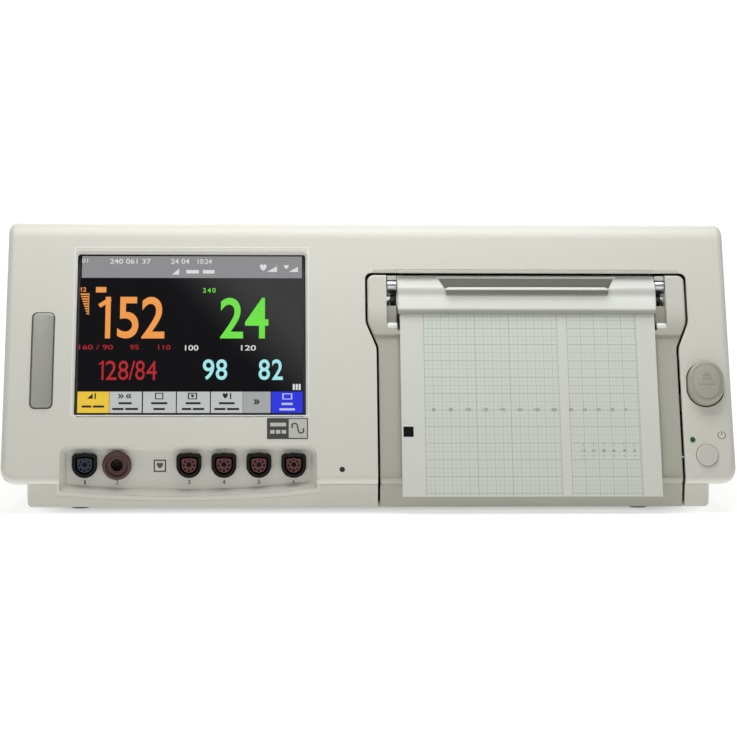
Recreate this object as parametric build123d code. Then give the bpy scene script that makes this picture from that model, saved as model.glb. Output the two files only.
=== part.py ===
from build123d import *
import math
import os

# A desktop fetal monitor with a paper drawer, in millimetres.
# X runs to the right as seen from the front, Y to the back and Z up, with the feet on Z = 0.

# Case
case_width = 424.0
case_height = 172.0
case_rear = 180.0
front_reach = 185.0
front_lean = 20.34
nose_height = 24.0
ledge_height = 16.4
top_slope = 1.0
wall = 2.5
front_top_radius = 12.0
rear_top_radius = 8.0
case_round = 4.0
low_corner_round = 9.0
bezel_depth = 40.0
seam = 0.4
fit = 0.3
overrun = 5.0
tiny = 0.01

# Base tray
base_overhang = 15.3
base_rear_inset = 4.0
foot_height = 3.4
chin_top_setback = 4.8
chin_bottom_setback = 6.2
chin_wall = 3.6
base_corner_round = 3.0
rim_height = 7.0
rim_wall = 2.0
rim_setback = 35.0
vent_width = 2.4
vent_length = 34.0
vent_pitch = 7.0
vent_count = 9
side_vent_height = 57.0
floor_vent_x = 110.0
floor_vent_y = 60.0

# Display
display_margin = 41.15
display_drop = 68.73
display_width = 133.9
display_height = 100.5
display_bevel = 1.2
window_lap = 4.0
window_thickness = 1.8
window_round = 2.0
lcd_width = 153.0
lcd_height = 118.0
lcd_thickness = 7.0
lcd_frame = 6.0
bracket_thickness = 1.5
bracket_lap = 9.0
bracket_boss_radius = 3.6
bracket_hole_radius = 1.5

# Socket recess
recess_margin = 34.0
recess_width = 147.3
recess_top = 38.9
recess_left_bottom = 12.7
recess_middle_bottom = 9.6
recess_right_bottom = 14.2
recess_depth = 12.3
recess_draft = 4.5
recess_draft_angle = 38.0
recess_round = 6.0
recess_wall = 2.5

# Sockets
socket_height = 27.0
socket_standout = 3.6
socket_depth = 20.0
socket_size = 14.4
socket_top = 6.8
socket_corner = 2.5
socket_rim = 1.9
socket_shoulder = 0.8
socket_play = 0.1
socket_bore_depth = 9.0
insert_gap = 1.0
insert_recess = 1.4
pin_hole_radius = 0.6
pin_circle_radius = 3.0
pin_count = 7
pin_depth = 4.0
oximetry_inset = 13.8
pressure_pitch = 18.5
pressure_radius = 8.4
pressure_bore_radius = 3.5
pressure_dish_radius = 6.4
pressure_dish_depth = 1.6
pressure_bore_length = 12.0
fetal_gap = 41.4
fetal_pitch = 20.1
fetal_count = 4
nut_thickness = 2.5
nut_margin = 2.6

# Drawer front
drawer_margin = 24.2
drawer_gap = 1.4
brow_rise = 31.23
ear_width = 11.9
ear_overhang = 6.3
ear_drop = 30.3
neck_drop = 45.8
neck_round = 9.0
drawer_corner = 4.0
drawer_edge_round = 1.2
drawer_skin = 2.4
panel_recess = 1.6
panel_drop = 37.6
panel_low = -3.5
window_drop = 34.8
room_low = 0.0
ear_depth = 20.0
channel_half = 82.6
channel_step = 2.6
channel_floor = 7.0
channel_floor_drop = 17.3
shoulder_drop = 29.6
shoulder_round = 4.0
cheek = 2.8
ear_skin = 2.0
lintel_bevel = 2.2
channel_top_drop = 2.8
ear_crown = 1.2

# Drawer tray
bay_width = 154.0
bay_depth = 106.0
bay_setback = 133.0
bay_floor = 10.4
tray_wall = 2.0
bay_height = 44.0
drawer_travel = 130.0
runner_thickness = 4.0
runner_height = 10.0
runner_bottom = 20.0
runner_setback = 29.0
runner_grip = 30.0
rail_setback = 35.0
rail_length = 172.0
rail_lip = 2.2
rail_web = 1.2

# Paper
paper_width = 150.0
paper_page = 100.0
paper_stack = 24.0
paper_thickness = 0.2
paper_lie = 0.5
paper_drop = 15.2
paper_gap = 0.25
paper_bend = 16.0
fold_count = 10
fold_groove = 0.5
fold_groove_depth = 1.2

# Platen, guide and drive
platen_drop = 10.2
platen_depth = 11.0
platen_radius = 6.0
platen_length = 146.0
platen_core_radius = 4.0
shaft_radius = 2.5
shaft_clearance = 0.05
sleeve_radius = 3.8
sleeve_flange_radius = 5.2
sleeve_flange = 1.2
gear_module = 0.8
gear_teeth = 18
pinion_teeth = 12
gear_width = 4.0
gear_standoff = 6.0
mesh_slack = 0.15
pinion_phase_share = 0.5
tooth_foot_share = 0.29
tooth_tip_share = 0.12
tooth_rise_share = 0.9
tooth_drop_share = 1.2
guide_play = 0.2
guide_wall = 1.5
guide_web = 1.0
guide_low_drop = 25.2
guide_front = 2.4
guide_slant = 6.4
guide_bend = 4.0
guide_top_rise = 1.4
guide_top_depth = 9.0
guide_shoulder_drop = 9.3
guide_ring_radius = 5.6
guide_ring_width = 5.0
notch_half_top = 52.0
notch_half_bottom = 48.5
notch_drop = 10.0
notch_top_drop = 2.2
notch_lip = 1.6
notch_lip_height = 4.2
notch_depth = 1.6
motor_radius = 14.0
motor_length = 18.0
motor_flange = 1.5
motor_plate = 1.5
motor_post_radius = 2.5
motor_post_circle = 17.0
motor_post_angles = (-80.0, -25.0, 30.0)
motor_shaft_radius = 1.5

# Print head and chassis
head_width = 150.0
head_height = 13.0
head_thickness = 4.0
head_gap = 0.4
head_drop = 2.5
sink_fin = 1.6
sink_fin_pitch = 4.0
sink_fin_depth = 3.5
chassis_plate = 1.5
chassis_front_depth = 29.0
chassis_round = 3.0
chassis_setback = 211.0
chassis_rear_height = 40.0
chassis_rise = 14.1
chassis_step_setback = 132.0
chassis_shoulder = 22.0
head_bracket_depth = 12.0
strap_length = 16.0

# Buttons and lamp
eject_offset = 8.5
eject_v = 52.5
eject_width = 20.7
eject_height = 26.0
eject_proud = 2.0
eject_round = 2.2
eject_travel = 4.0
eject_stem_radius = 2.5
eject_stem_end = 30.0
eject_tip_radius = 1.0
eject_tip_length = 3.0
button_gap = 0.25
flange_margin = 1.8
flange_thickness = 1.5
flange_gap = 0.3
standby_offset = 7.5
standby_v = 9.5
standby_radius = 6.25
standby_standout = 1.6
standby_crown = 0.9
standby_travel = 1.2
standby_stem_radius = 2.0
lamp_offset = -0.5
lamp_v = 19.0
lamp_radius = 1.5
lamp_standout = 0.3
sensor_offset = 15.0
sensor_v = 1.2
sensor_radius = 1.6
key_board_offset = -3.8
key_board_width = 21.0
key_board_low = 2.0
key_board_high = 30.0
key_board_depth = 12.0
board_thickness = 1.6
switch_size = 6.0
switch_height = 2.6

# Latch
latch_offset = -0.5
latch_depth = 34.0
latch_low = 40.0
latch_high = 56.0
latch_arm = 3.0
latch_pin_radius = 2.0
latch_hub_radius = 4.0
latch_hook_depth = 13.0
latch_tip_low = -16.0
latch_hook_gap = 0.4
latch_post_margin = 4.0
catch_width = 5.0
catch_margin = 1.0

# Rear panel and its fittings
rear_panel_thickness = 2.5
rear_panel_inset = 1.5
rear_frame = 12.0
inlet_x = -140.0
inlet_width = 27.0
inlet_height = 20.0
inlet_depth = 24.0
inlet_flange = 3.0
inlet_standout = 2.0
inlet_blade = 2.0
blade_pitch = 7.0
blade_rise = 4.0
blade_height = 6.0
blade_setback = 4.0
earth_x = -95.0
earth_radius = 3.0
earth_length = 13.3
earth_collar_radius = 6.0
network_x = 40.0
network_width = 16.0
network_height = 13.5
network_depth = 18.0
network_mouth = 11.8
network_mouth_height = 7.8
serial_x = 90.0
serial_width = 31.0
serial_height = 12.5
serial_depth = 12.0
serial_shell_width = 17.0
serial_shell_height = 8.4
serial_standout = 5.0
ports_z = 50.0
screw_head_radius = 2.9
screw_head = 2.0
screw_radius = 1.5
screw_length = 9.0
screw_slot = 0.8
fitting_round = 2.0

# Inner modules
board_inset = 102.0
board_y = -30.0
board_width = 150.0
board_length = 150.0
board_z = 36.0
board_post_radius = 3.0
board_post_inset = 6.0
chip_height = 4.0
chip_size = 24.0
connector_height = 9.0
supply_inset = 90.0
supply_rear_inset = 75.0
supply_width = 130.0
supply_length = 90.0
supply_post = 6.0
supply_coil = 28.0
supply_can_radius = 9.0
supply_can_height = 30.0
pump_x = -50.0
pump_rear_inset = 70.0
pump_radius = 14.0
pump_length = 56.0
pump_cradle = 3.0
pump_nozzle_radius = 2.0
pump_nozzle_length = 6.0
speaker_inset = 62.0
speaker_rear_inset = 65.0
speaker_radius = 25.0
speaker_rim = 3.0
speaker_magnet_radius = 12.0
speaker_height = 16.0

# Feet and the trolley fixing under the base
foot_radius = 5.6
foot_spigot_radius = 2.0
foot_front_setback = 35.0
foot_left_inset = 43.2
foot_right_inset = 52.4
foot_rear_inset = 25.0
fixing_pitch = 100.0
fixing_y = 30.0
fixing_radius = 2.1
fixing_boss_radius = 5.0
fixing_depth = 10.0

lean_sin = math.sin(math.radians(front_lean))
lean_cos = math.cos(math.radians(front_lean))
slope_tan = math.tan(math.radians(top_slope))
half_width = case_width / 2
base_half = half_width - base_overhang
base_rear = case_rear - base_rear_inset
floor_top = foot_height + wall
front = Plane(
    origin=(0, -front_reach, nose_height),
    x_dir=(1, 0, 0),
    z_dir=(0, -lean_cos, lean_sin),
)
front_top_v = (case_height - nose_height - (case_rear + front_reach) * slope_tan) / (
    lean_cos - lean_sin * slope_tan
)
ledge_v = (ledge_height - nose_height) / lean_cos
rim_front = rim_setback - front_reach
display_x = display_margin + display_width / 2 - half_width
display_v = front_top_v - display_drop
recess_left = recess_margin - half_width
recess_right = recess_left + recess_width
oximetry_x = recess_left + oximetry_inset
pressure_x = oximetry_x + pressure_pitch
fetal_first_x = pressure_x + fetal_gap
ear_half = channel_half + ear_width
neck_half = ear_half - ear_overhang
drawer_x = half_width - drawer_margin - ear_half
drawer_top = front_top_v - brow_rise
ear_bottom = drawer_top - ear_drop
neck_top = drawer_top - neck_drop
panel_top = drawer_top - panel_drop
window_low = drawer_top - window_drop
shoulder_v = drawer_top - shoulder_drop
channel_top = drawer_top - channel_top_drop
bay_rear = bay_setback - front_reach
runner_front = runner_setback - front_reach
rail_front = rail_setback - front_reach
rail_rear = rail_front + rail_length
runner_rear = rail_front + drawer_travel + runner_grip
platen_v = drawer_top - platen_drop
gear_offset = channel_half + gear_standoff
guide_half = paper_width / 2 + guide_play + guide_web
channel_inner_half = guide_half + fit
guide_low_v = drawer_top - guide_low_drop
guide_shoulder_v = drawer_top - guide_shoulder_drop
guide_top_v = drawer_top + guide_top_rise
notch_v = drawer_top - notch_drop
notch_top_v = drawer_top - notch_top_drop
chassis_rear = chassis_setback - front_reach
chassis_step_y = chassis_step_setback - front_reach
drawer_right = drawer_x + ear_half
eject_x = drawer_right + eject_offset
eject_standout = eject_proud + eject_travel
standby_x = drawer_right + standby_offset
lamp_x = drawer_right + lamp_offset
sensor_x = drawer_x - ear_half - sensor_offset
key_board_left = drawer_right + key_board_offset
key_board_right = key_board_left + key_board_width
latch_x = drawer_right + latch_offset
latch_hook_x = drawer_x + neck_half - drawer_gap / 2 + latch_hook_gap
foot_front_y = foot_front_setback - front_reach
foot_rear_y = case_rear - foot_rear_inset
board_x = board_inset - half_width
supply_x = half_width - supply_inset
supply_y = case_rear - supply_rear_inset
pump_y = case_rear - pump_rear_inset
speaker_x = speaker_inset - half_width
speaker_y = case_rear - speaker_rear_inset


def front_point(v, w):
    """Y and Z of a place v up the front plane and w out of it."""
    return (
        -front_reach + v * lean_sin - w * lean_cos,
        nose_height + v * lean_cos + w * lean_sin,
    )


def block(x_span, y_span, z_span):
    """Box between two corners."""
    size = [span[1] - span[0] for span in (x_span, y_span, z_span)]
    middle = [(span[0] + span[1]) / 2 for span in (x_span, y_span, z_span)]
    return Pos(*middle) * Box(*size)


def front_block(u_span, v_span, w_span):
    """Box between two corners on the leaning front plane."""
    return front * block(u_span, v_span, w_span)


def front_prism(face, w_low, w_high):
    """Sketch on the front plane, carried from one depth to another."""
    return extrude(front * Pos(0, 0, w_low) * face, amount=w_high - w_low)


def level_prism(face, y_low, y_high):
    """Sketch on the front plane, carried straight from front to back."""
    return extrude(Pos(0, y_low, 0) * (front * face), amount=y_high - y_low, dir=(0, 1, 0))


def side_prism(face, x_low, x_high):
    """Sketch in Y and Z, carried across the case."""
    return extrude(Plane.YZ * Pos(0, 0, x_low) * face, amount=x_high - x_low)


def front_rod(x, v, radius, w_low, w_high):
    """Cylinder along the front plane's normal."""
    return front * Pos(x, v, (w_low + w_high) / 2) * Cylinder(radius, w_high - w_low)


def cross_rod(y, z, radius, x_low, x_high):
    """Cylinder across the case."""
    return Pos((x_low + x_high) / 2, y, z) * Rot(0, 90, 0) * Cylinder(radius, x_high - x_low)


def depth_rod(x, z, radius, y_low, y_high):
    """Cylinder from front to back."""
    return Pos(x, (y_low + y_high) / 2, z) * Rot(90, 0, 0) * Cylinder(radius, y_high - y_low)


def post(x, y, radius, z_low, z_high):
    """Upright cylinder."""
    return Pos(x, y, (z_low + z_high) / 2) * Cylinder(radius, z_high - z_low)


# Case outlines


def upper_face():
    """Side outline of the upper case."""
    points = [
        front_point(ledge_v, 0),
        front_point(front_top_v, 0),
        (case_rear, case_height),
        (case_rear, ledge_height),
    ]
    radii = [0, front_top_radius, rear_top_radius, 0]
    return make_face(FilletPolyline(*points, radius=radii, close=True))


def upper_solid():
    """Upper case as a closed form with its outer edges rounded."""
    solid = extrude(Plane.YZ * upper_face(), amount=half_width, both=True)
    low = [edge for edge in solid.edges() if edge.center().Z < ledge_height + tiny]
    low_sides = [edge for edge in low if abs(edge.center().X) > half_width - tiny]
    solid = fillet(low_sides, low_corner_round)
    outer = [edge for edge in solid.edges() if abs(edge.center().X) > half_width - tiny]
    fronts = [edge for edge in outer if edge.center().Z > ledge_height + low_corner_round]
    return fillet(fronts, case_round)


def upper_room():
    """Space inside the upper case."""
    face = offset(upper_face(), amount=-wall)
    return extrude(Plane.YZ * face, amount=half_width - wall, both=True)


def base_face(inset, chin_inset):
    """Side outline of the base, with its chin set back under the nose."""
    points = [
        (nose_y + chin_bottom_setback + chin_inset, foot_height + inset),
        (nose_y + chin_top_setback + chin_inset, ledge_height + inset),
        (base_rear - inset, ledge_height + inset),
        (base_rear - inset, foot_height + inset),
    ]
    return make_face(Polyline(*points, close=True))


def base_solid():
    """Base as a closed form."""
    solid = extrude(Plane.YZ * base_face(0, 0), amount=base_half, both=True)
    edges = [edge for edge in solid.edges() if abs(edge.center().X) > base_half - tiny]
    corners = [edge for edge in edges if edge.center().Z < ledge_height - tiny]
    return fillet(corners, base_corner_round)


def recess_outline(margin):
    """Front outline of the socket recess in X and Z, with its curved lower edge."""
    left = recess_left - margin
    right = recess_right + margin
    top = recess_top + margin
    middle = (left + right) / 2
    sides = FilletPolyline(
        (right, recess_right_bottom - margin),
        (right, top),
        (left, top),
        (left, recess_left_bottom - margin),
        radius=recess_round + margin,
    )
    arc = ThreePointArc(
        (left, recess_left_bottom - margin),
        (middle, recess_middle_bottom - margin),
        (right, recess_right_bottom - margin),
    )
    return make_face(sides + arc)


def recess_prism(margin, y_low, y_high):
    """Recess outline carried from front to back."""
    face = Plane.XZ * Pos(0, 0, -y_low) * recess_outline(margin)
    return extrude(face, amount=y_low - y_high)


def recess_room():
    """Hollow of the socket recess, with drafted walls down to its floor."""
    draft_start = recess_floor_y - recess_draft
    straight = recess_prism(0, nose_y - overrun, draft_start)
    shrink = recess_draft * math.tan(math.radians(recess_draft_angle))
    outer = Plane.XZ * Pos(0, 0, -draft_start) * recess_outline(0)
    inner = Plane.XZ * Pos(0, 0, -recess_floor_y) * recess_outline(-shrink)
    drafted = loft([outer.face(), inner.face()])
    return straight + drafted


def drawer_outline(margin):
    """Front outline of the drawer with its two ears, on the front plane."""
    ear = ear_half + margin
    neck = neck_half + margin
    top = drawer_top + margin
    low = ledge_v - overrun
    right = [(neck, low), (neck, neck_top), (ear, ear_bottom), (ear, top)]
    left = [(-x, v) for x, v in reversed(right)]
    radii = [neck_round, neck_round, drawer_corner, drawer_corner, neck_round, neck_round]
    sides = FilletPolyline(*right, *left, radius=radii)
    return Pos(drawer_x, 0) * make_face(sides + Line(left[-1], right[0]))


nose_y = front_point(ledge_v, 0)[0]
recess_floor_y = nose_y + recess_depth
upper_form = upper_solid()
upper_hollow = upper_room()
base_form = base_solid()
recess_hollow = recess_room()
drawer_half_gap = drawer_gap / 2
chin_back = nose_y + chin_bottom_setback + chin_wall
far = case_width


def base_opening():
    """Hole in the underside of the upper case that the base fills."""
    side = base_half - rim_wall
    y_front = nose_y + chin_top_setback + chin_wall
    return block((-side, side), (y_front, base_rear - rim_wall), (foot_height, nose_height))


# Front bezel


def drawer_opening():
    """Opening that the drawer leaves the case through, with a bevel along its top edge."""
    opening = level_prism(drawer_outline(drawer_half_gap), -overrun, far)
    lintel = drawer_top + drawer_half_gap
    bevel_face = make_face(
        Polyline(
            (0, 0),
            (lintel_bevel, 0),
            (0, -lintel_bevel),
            close=True,
        )
    )
    span = 2 * (ear_half - drawer_corner)
    bevel = front * Pos(drawer_x - span / 2, lintel, 0) * extrude(Plane.YZ * bevel_face, amount=span)
    return opening + bevel


def display_opening():
    """Window in the bezel, bevelled outwards."""
    through = Pos(display_x, display_v) * RectangleRounded(display_width, display_height, window_round)
    wide = Pos(display_x, display_v) * RectangleRounded(
        display_width + 2 * display_bevel,
        display_height + 2 * display_bevel,
        window_round + display_bevel,
    )
    inner = (front * Pos(0, 0, -display_bevel) * through).face()
    outer = (front * wide).face()
    return front_prism(through, -wall - overrun, overrun) + loft([inner, outer])


def eject_oval(margin):
    """Outline of the eject button."""
    straight = eject_height - eject_width
    slot = SlotCenterToCenter(straight, eject_width + 2 * margin, rotation=90)
    return Pos(eject_x, eject_v) * slot


def bezel_holes():
    """Holes for the two buttons, the lamp and the sensor."""
    depth = (-wall - overrun, overrun)
    oval = front_prism(eject_oval(button_gap), *depth)
    standby = front_rod(standby_x, standby_v, standby_radius + button_gap, *depth)
    lamp = front_rod(lamp_x, lamp_v, lamp_radius, *depth)
    sensor = front_rod(sensor_x, sensor_v, sensor_radius, *depth)
    return oval + standby + lamp + sensor


def display_bosses():
    """Posts behind the bezel that carry the display bracket."""
    across = lcd_width / 2 + bracket_boss_radius + fit
    up = lcd_height / 2 - bracket_boss_radius
    low = -wall - window_thickness - fit - lcd_thickness
    bosses = []
    for x in (-across, across):
        for v in (-up, up):
            outer = front_rod(display_x + x, display_v + v, bracket_boss_radius, low, -wall)
            bore = front_rod(display_x + x, display_v + v, bracket_hole_radius, low, -wall)
            bosses.append(outer - bore)
    return bosses


def signal_places():
    """Middle of each signal socket across the recess."""
    return [oximetry_x] + [fetal_first_x + i * fetal_pitch for i in range(fetal_count)]


def front_bezel():
    """Leaning front shell with the display window, the socket recess and the drawer opening."""
    shell = (upper_form - upper_hollow) & front_block((-far, far), (-far, far), (-bezel_depth, far))
    shell -= base_opening()
    back = recess_prism(recess_wall, nose_y - overrun, recess_floor_y + recess_wall)
    shell += back & (upper_form + base_form)
    shell -= recess_hollow
    shell -= drawer_opening() + display_opening() + bezel_holes()
    for boss in display_bosses():
        shell += boss
    hole_span = (nose_y, recess_floor_y + overrun)
    pressure_hole = pressure_radius - socket_shoulder + socket_play
    shell -= depth_rod(pressure_x, socket_height, pressure_hole, *hole_span)
    for x in signal_places():
        shell -= y_prism(socket_face(x, socket_shoulder - socket_play), *hole_span)
    return shell


# Top cover, rear panel and base


def side_vents():
    """Rows of upright slots through both sides of the top cover."""
    slots = []
    for i in range(vent_count):
        y = case_rear / 2 + (i - (vent_count - 1) / 2) * vent_pitch
        heights = (side_vent_height, side_vent_height + vent_length)
        slots.append(block((-far, far), (y, y + vent_width), heights))
    return slots


def rear_window():
    """Opening in the back of the top cover that the rear panel shows through."""
    side = half_width - rear_frame
    return block(
        (-side, side),
        (case_rear - wall - overrun, case_rear + overrun),
        (ledge_height + rear_frame, case_height - rear_frame),
    )


def rear_screw_places():
    """Middle of each screw round the rear panel."""
    side = half_width - rear_frame / 2 - wall / 2
    low = ledge_height + rear_frame
    high = case_height - rear_frame
    return [(x, z) for x in (-side, side) for z in (low, (low + high) / 2, high)]


def top_cover():
    """Shell over the top, sides and back of the case."""
    shell = (upper_form - upper_hollow) & front_block(
        (-far, far), (-far, far), (-far * 2, -bezel_depth - seam)
    )
    shell -= base_opening() + rear_window()
    for slot in side_vents():
        shell -= slot
    for x, z in rear_screw_places():
        shell -= depth_rod(x, z, screw_radius, case_rear - wall - overrun, case_rear + overrun)
    return shell


def rear_panel():
    """Plate inside the rear opening, cut out for the inlet and the sockets."""
    side = half_width - wall - rear_panel_inset
    low = ledge_height + rear_frame / 2
    high = case_height - rear_top_radius - fit
    back = case_rear - wall
    plate = block((-side, side), (back - rear_panel_thickness, back), (low, high))
    y_span = (back - rear_panel_thickness - overrun, back + overrun)
    plate -= block(
        (inlet_x - inlet_width / 2, inlet_x + inlet_width / 2),
        y_span,
        (ports_z - inlet_height / 2, ports_z + inlet_height / 2),
    )
    plate -= block(
        (network_x - network_width / 2, network_x + network_width / 2),
        y_span,
        (ports_z - network_height / 2, ports_z + network_height / 2),
    )
    plate -= block(
        (serial_x - serial_shell_width / 2, serial_x + serial_shell_width / 2),
        y_span,
        (ports_z - serial_shell_height / 2, ports_z + serial_shell_height / 2),
    )
    plate -= depth_rod(earth_x, ports_z, earth_radius, *y_span)
    for x, z in rear_screw_places():
        plate -= depth_rod(x, z, screw_radius, *y_span)
    return plate


def rear_screws():
    """Pan-head screws that hold the rear panel."""
    screws = []
    for x, z in rear_screw_places():
        head = depth_rod(x, z, screw_head_radius, case_rear, case_rear + screw_head)
        head -= block(
            (x - screw_head_radius, x + screw_head_radius),
            (case_rear + screw_head / 2, case_rear + screw_head),
            (z - screw_slot / 2, z + screw_slot / 2),
        )
        shank = depth_rod(x, z, screw_radius, case_rear - screw_length, case_rear)
        screws.append(head + shank)
    return screws


def floor_vents():
    """Slots through the floor of the base, clear of the drawer."""
    slots = []
    for i in range(vent_count):
        y = floor_vent_y + i * vent_pitch
        slots.append(
            block(
                (-floor_vent_x - vent_length, -floor_vent_x),
                (y, y + vent_width),
                (0, floor_top + overrun),
            )
        )
    return slots


def foot_places():
    """Middle of each rubber foot."""
    sides = (foot_left_inset - half_width, half_width - foot_right_inset)
    return [(x, y) for x in sides for y in (foot_front_y, foot_rear_y)]


def fixing_places():
    """Middle of each threaded insert for a trolley plate."""
    half = fixing_pitch / 2
    return [(x, fixing_y + y) for x in (-half, half) for y in (-half, half)]


def board_places():
    """Middle of each post under the main board."""
    across = board_width / 2 - board_post_inset
    along = board_length / 2 - board_post_inset
    return [(board_x + x, board_y + y) for x in (-across, across) for y in (-along, along)]


def base_tray():
    """Pan that stands on the feet and carries the inner modules."""
    room = extrude(Plane.YZ * base_face(wall, chin_wall), amount=base_half - wall, both=True)
    tray = base_form - room
    rim_side = base_half - rim_wall - fit
    rim_rear = base_rear - rim_wall - fit
    rim_low = floor_top + overrun
    rim_high = ledge_height + rim_height
    for side in (-1, 1):
        span = sorted((side * rim_side, side * (rim_side - rim_wall)))
        rim = block(span, (rim_front, rim_rear), (rim_low, rim_high))
        tray += rim
    tray += block((-rim_side, rim_side), (rim_rear - rim_wall, rim_rear), (rim_low, rim_high))
    opening = drawer_x - neck_half - drawer_half_gap, drawer_x + neck_half + drawer_half_gap
    tray -= block(opening, (nose_y - overrun, chin_back + fit), (0, rim_high))
    tray -= recess_prism(recess_wall, nose_y - overrun, recess_floor_y + recess_wall)
    for slot in floor_vents():
        tray -= slot
    for x, y in foot_places():
        tray -= post(x, y, foot_spigot_radius, 0, floor_top + overrun)
    for x, y in fixing_places():
        tray += post(x, y, fixing_boss_radius, foot_height, foot_height + fixing_depth + wall)
        tray -= post(x, y, fixing_radius, 0, foot_height + fixing_depth)
    for x, y in board_places():
        tray += post(x, y, board_post_radius, foot_height, board_z)
    return tray


def rubber_feet():
    """Four round feet, each held by a spigot through the floor."""
    feet = []
    for x, y in foot_places():
        pad = post(x, y, foot_radius, 0, foot_height)
        pad = chamfer(pad.edges().sort_by(Axis.Z)[0], foot_height / 4)
        feet.append(pad + post(x, y, foot_spigot_radius, foot_height, floor_top))
    return feet


# Display


def display_window():
    """Clear panel behind the bezel's window."""
    lap = 2 * window_lap
    face = Pos(display_x, display_v) * Rectangle(display_width + lap, display_height + lap)
    return front_prism(face, -wall - window_thickness, -wall)


def lcd_panel():
    """Display module: a thin metal frame round the glass."""
    high = -wall - window_thickness - fit
    face = Pos(display_x, display_v) * Rectangle(lcd_width, lcd_height)
    module = front_prism(face, high - lcd_thickness, high)
    well = Pos(display_x, display_v) * Rectangle(lcd_width - 2 * lcd_frame, lcd_height - 2 * lcd_frame)
    return module - front_prism(well, high - fit, high + overrun)


def display_bracket():
    """Sheet frame that clamps the display module to the bezel."""
    high = -wall - window_thickness - fit - lcd_thickness
    lap = 2 * bracket_lap
    outer = Pos(display_x, display_v) * RectangleRounded(lcd_width + lap, lcd_height, bracket_lap / 2)
    inner = Pos(display_x, display_v) * RectangleRounded(lcd_width - lap, lcd_height - lap, bracket_lap / 2)
    frame = front_prism(outer, high - bracket_thickness, high)
    frame -= front_prism(inner, high - overrun, high + overrun)
    return frame


# Sockets


def socket_face(x, margin):
    """Outline with a square top and a round foot, in X and Z."""
    radius = socket_size / 2 - margin
    top = socket_top - margin
    corner = socket_corner - margin / 2
    head = Pos(0, top / 2) * Rectangle(2 * radius, top)
    head = fillet([vertex for vertex in head.vertices() if vertex.Y > top / 2], corner)
    return Pos(x, socket_height) * (Circle(radius) + head)


def y_prism(face, y_low, y_high):
    """Sketch in X and Z carried from front to back."""
    return extrude(Plane.XZ * Pos(0, 0, -y_low) * face, amount=y_low - y_high)


def signal_socket(x):
    """Shell of a signal socket, with its rim, bore and the nut behind the floor."""
    mouth = recess_floor_y - socket_standout
    shell = y_prism(socket_face(x, 0), mouth, recess_floor_y)
    shell += y_prism(socket_face(x, socket_shoulder), recess_floor_y, mouth + socket_depth)
    nut_low = recess_floor_y + recess_wall
    nut_radius = socket_size / 2 + nut_margin / 2
    shell += depth_rod(x, socket_height, nut_radius, nut_low, nut_low + nut_thickness)
    return shell - y_prism(socket_face(x, socket_rim), mouth, mouth + socket_bore_depth)


def signal_insert(x):
    """Contact carrier inside a signal socket, with its ring of pin holes."""
    mouth = recess_floor_y - socket_standout
    face_y = mouth + insert_recess
    insert = y_prism(socket_face(x, socket_rim + insert_gap), face_y, mouth + socket_bore_depth)
    for i in range(pin_count):
        angle = math.radians(90 + (i + 1) * 360 / (pin_count + 1))
        pin_x = x + pin_circle_radius * math.cos(angle)
        pin_z = socket_height + pin_circle_radius * math.sin(angle)
        insert -= depth_rod(pin_x, pin_z, pin_hole_radius, face_y, face_y + pin_depth)
    return insert


def pressure_socket():
    """Round air socket for the cuff hose."""
    mouth = recess_floor_y - socket_standout
    body = depth_rod(pressure_x, socket_height, pressure_radius, mouth, recess_floor_y)
    body = fillet(body.edges().sort_by(Axis.Y)[0], socket_rim / 2)
    inner = pressure_radius - socket_shoulder
    body += depth_rod(pressure_x, socket_height, inner, recess_floor_y, mouth + socket_depth)
    nut_low = recess_floor_y + recess_wall
    nut_radius = pressure_radius + nut_margin / 2
    body += depth_rod(pressure_x, socket_height, nut_radius, nut_low, nut_low + nut_thickness)
    dish_end = mouth + pressure_dish_depth
    body -= depth_rod(pressure_x, socket_height, pressure_dish_radius, mouth, dish_end)
    bore_end = dish_end + pressure_bore_length
    return body - depth_rod(pressure_x, socket_height, pressure_bore_radius, dish_end, bore_end)


# Drawer


def drawer_span(half, margin=0):
    """Width about the middle of the drawer."""
    return (drawer_x - half - margin, drawer_x + half + margin)


def ear_spans(inner, outer):
    """The two matching widths at the left and right of the drawer."""
    return [
        (drawer_x - outer, drawer_x - inner),
        (drawer_x + inner, drawer_x + outer),
    ]


def side_span(side, inner, outer):
    """Width on one side of the drawer's middle, where side is -1 or 1."""
    return tuple(sorted((drawer_x + side * inner, drawer_x + side * outer)))


def drawer_chin():
    """Part of the drawer front that hangs below the ledge and follows the base."""
    room = extrude(Plane.YZ * base_face(wall, chin_wall), amount=base_half - wall, both=True)
    span = drawer_span(neck_half, -drawer_half_gap)
    return (base_form - room) & block(span, (nose_y, chin_back), (foot_height, ledge_height))


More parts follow.
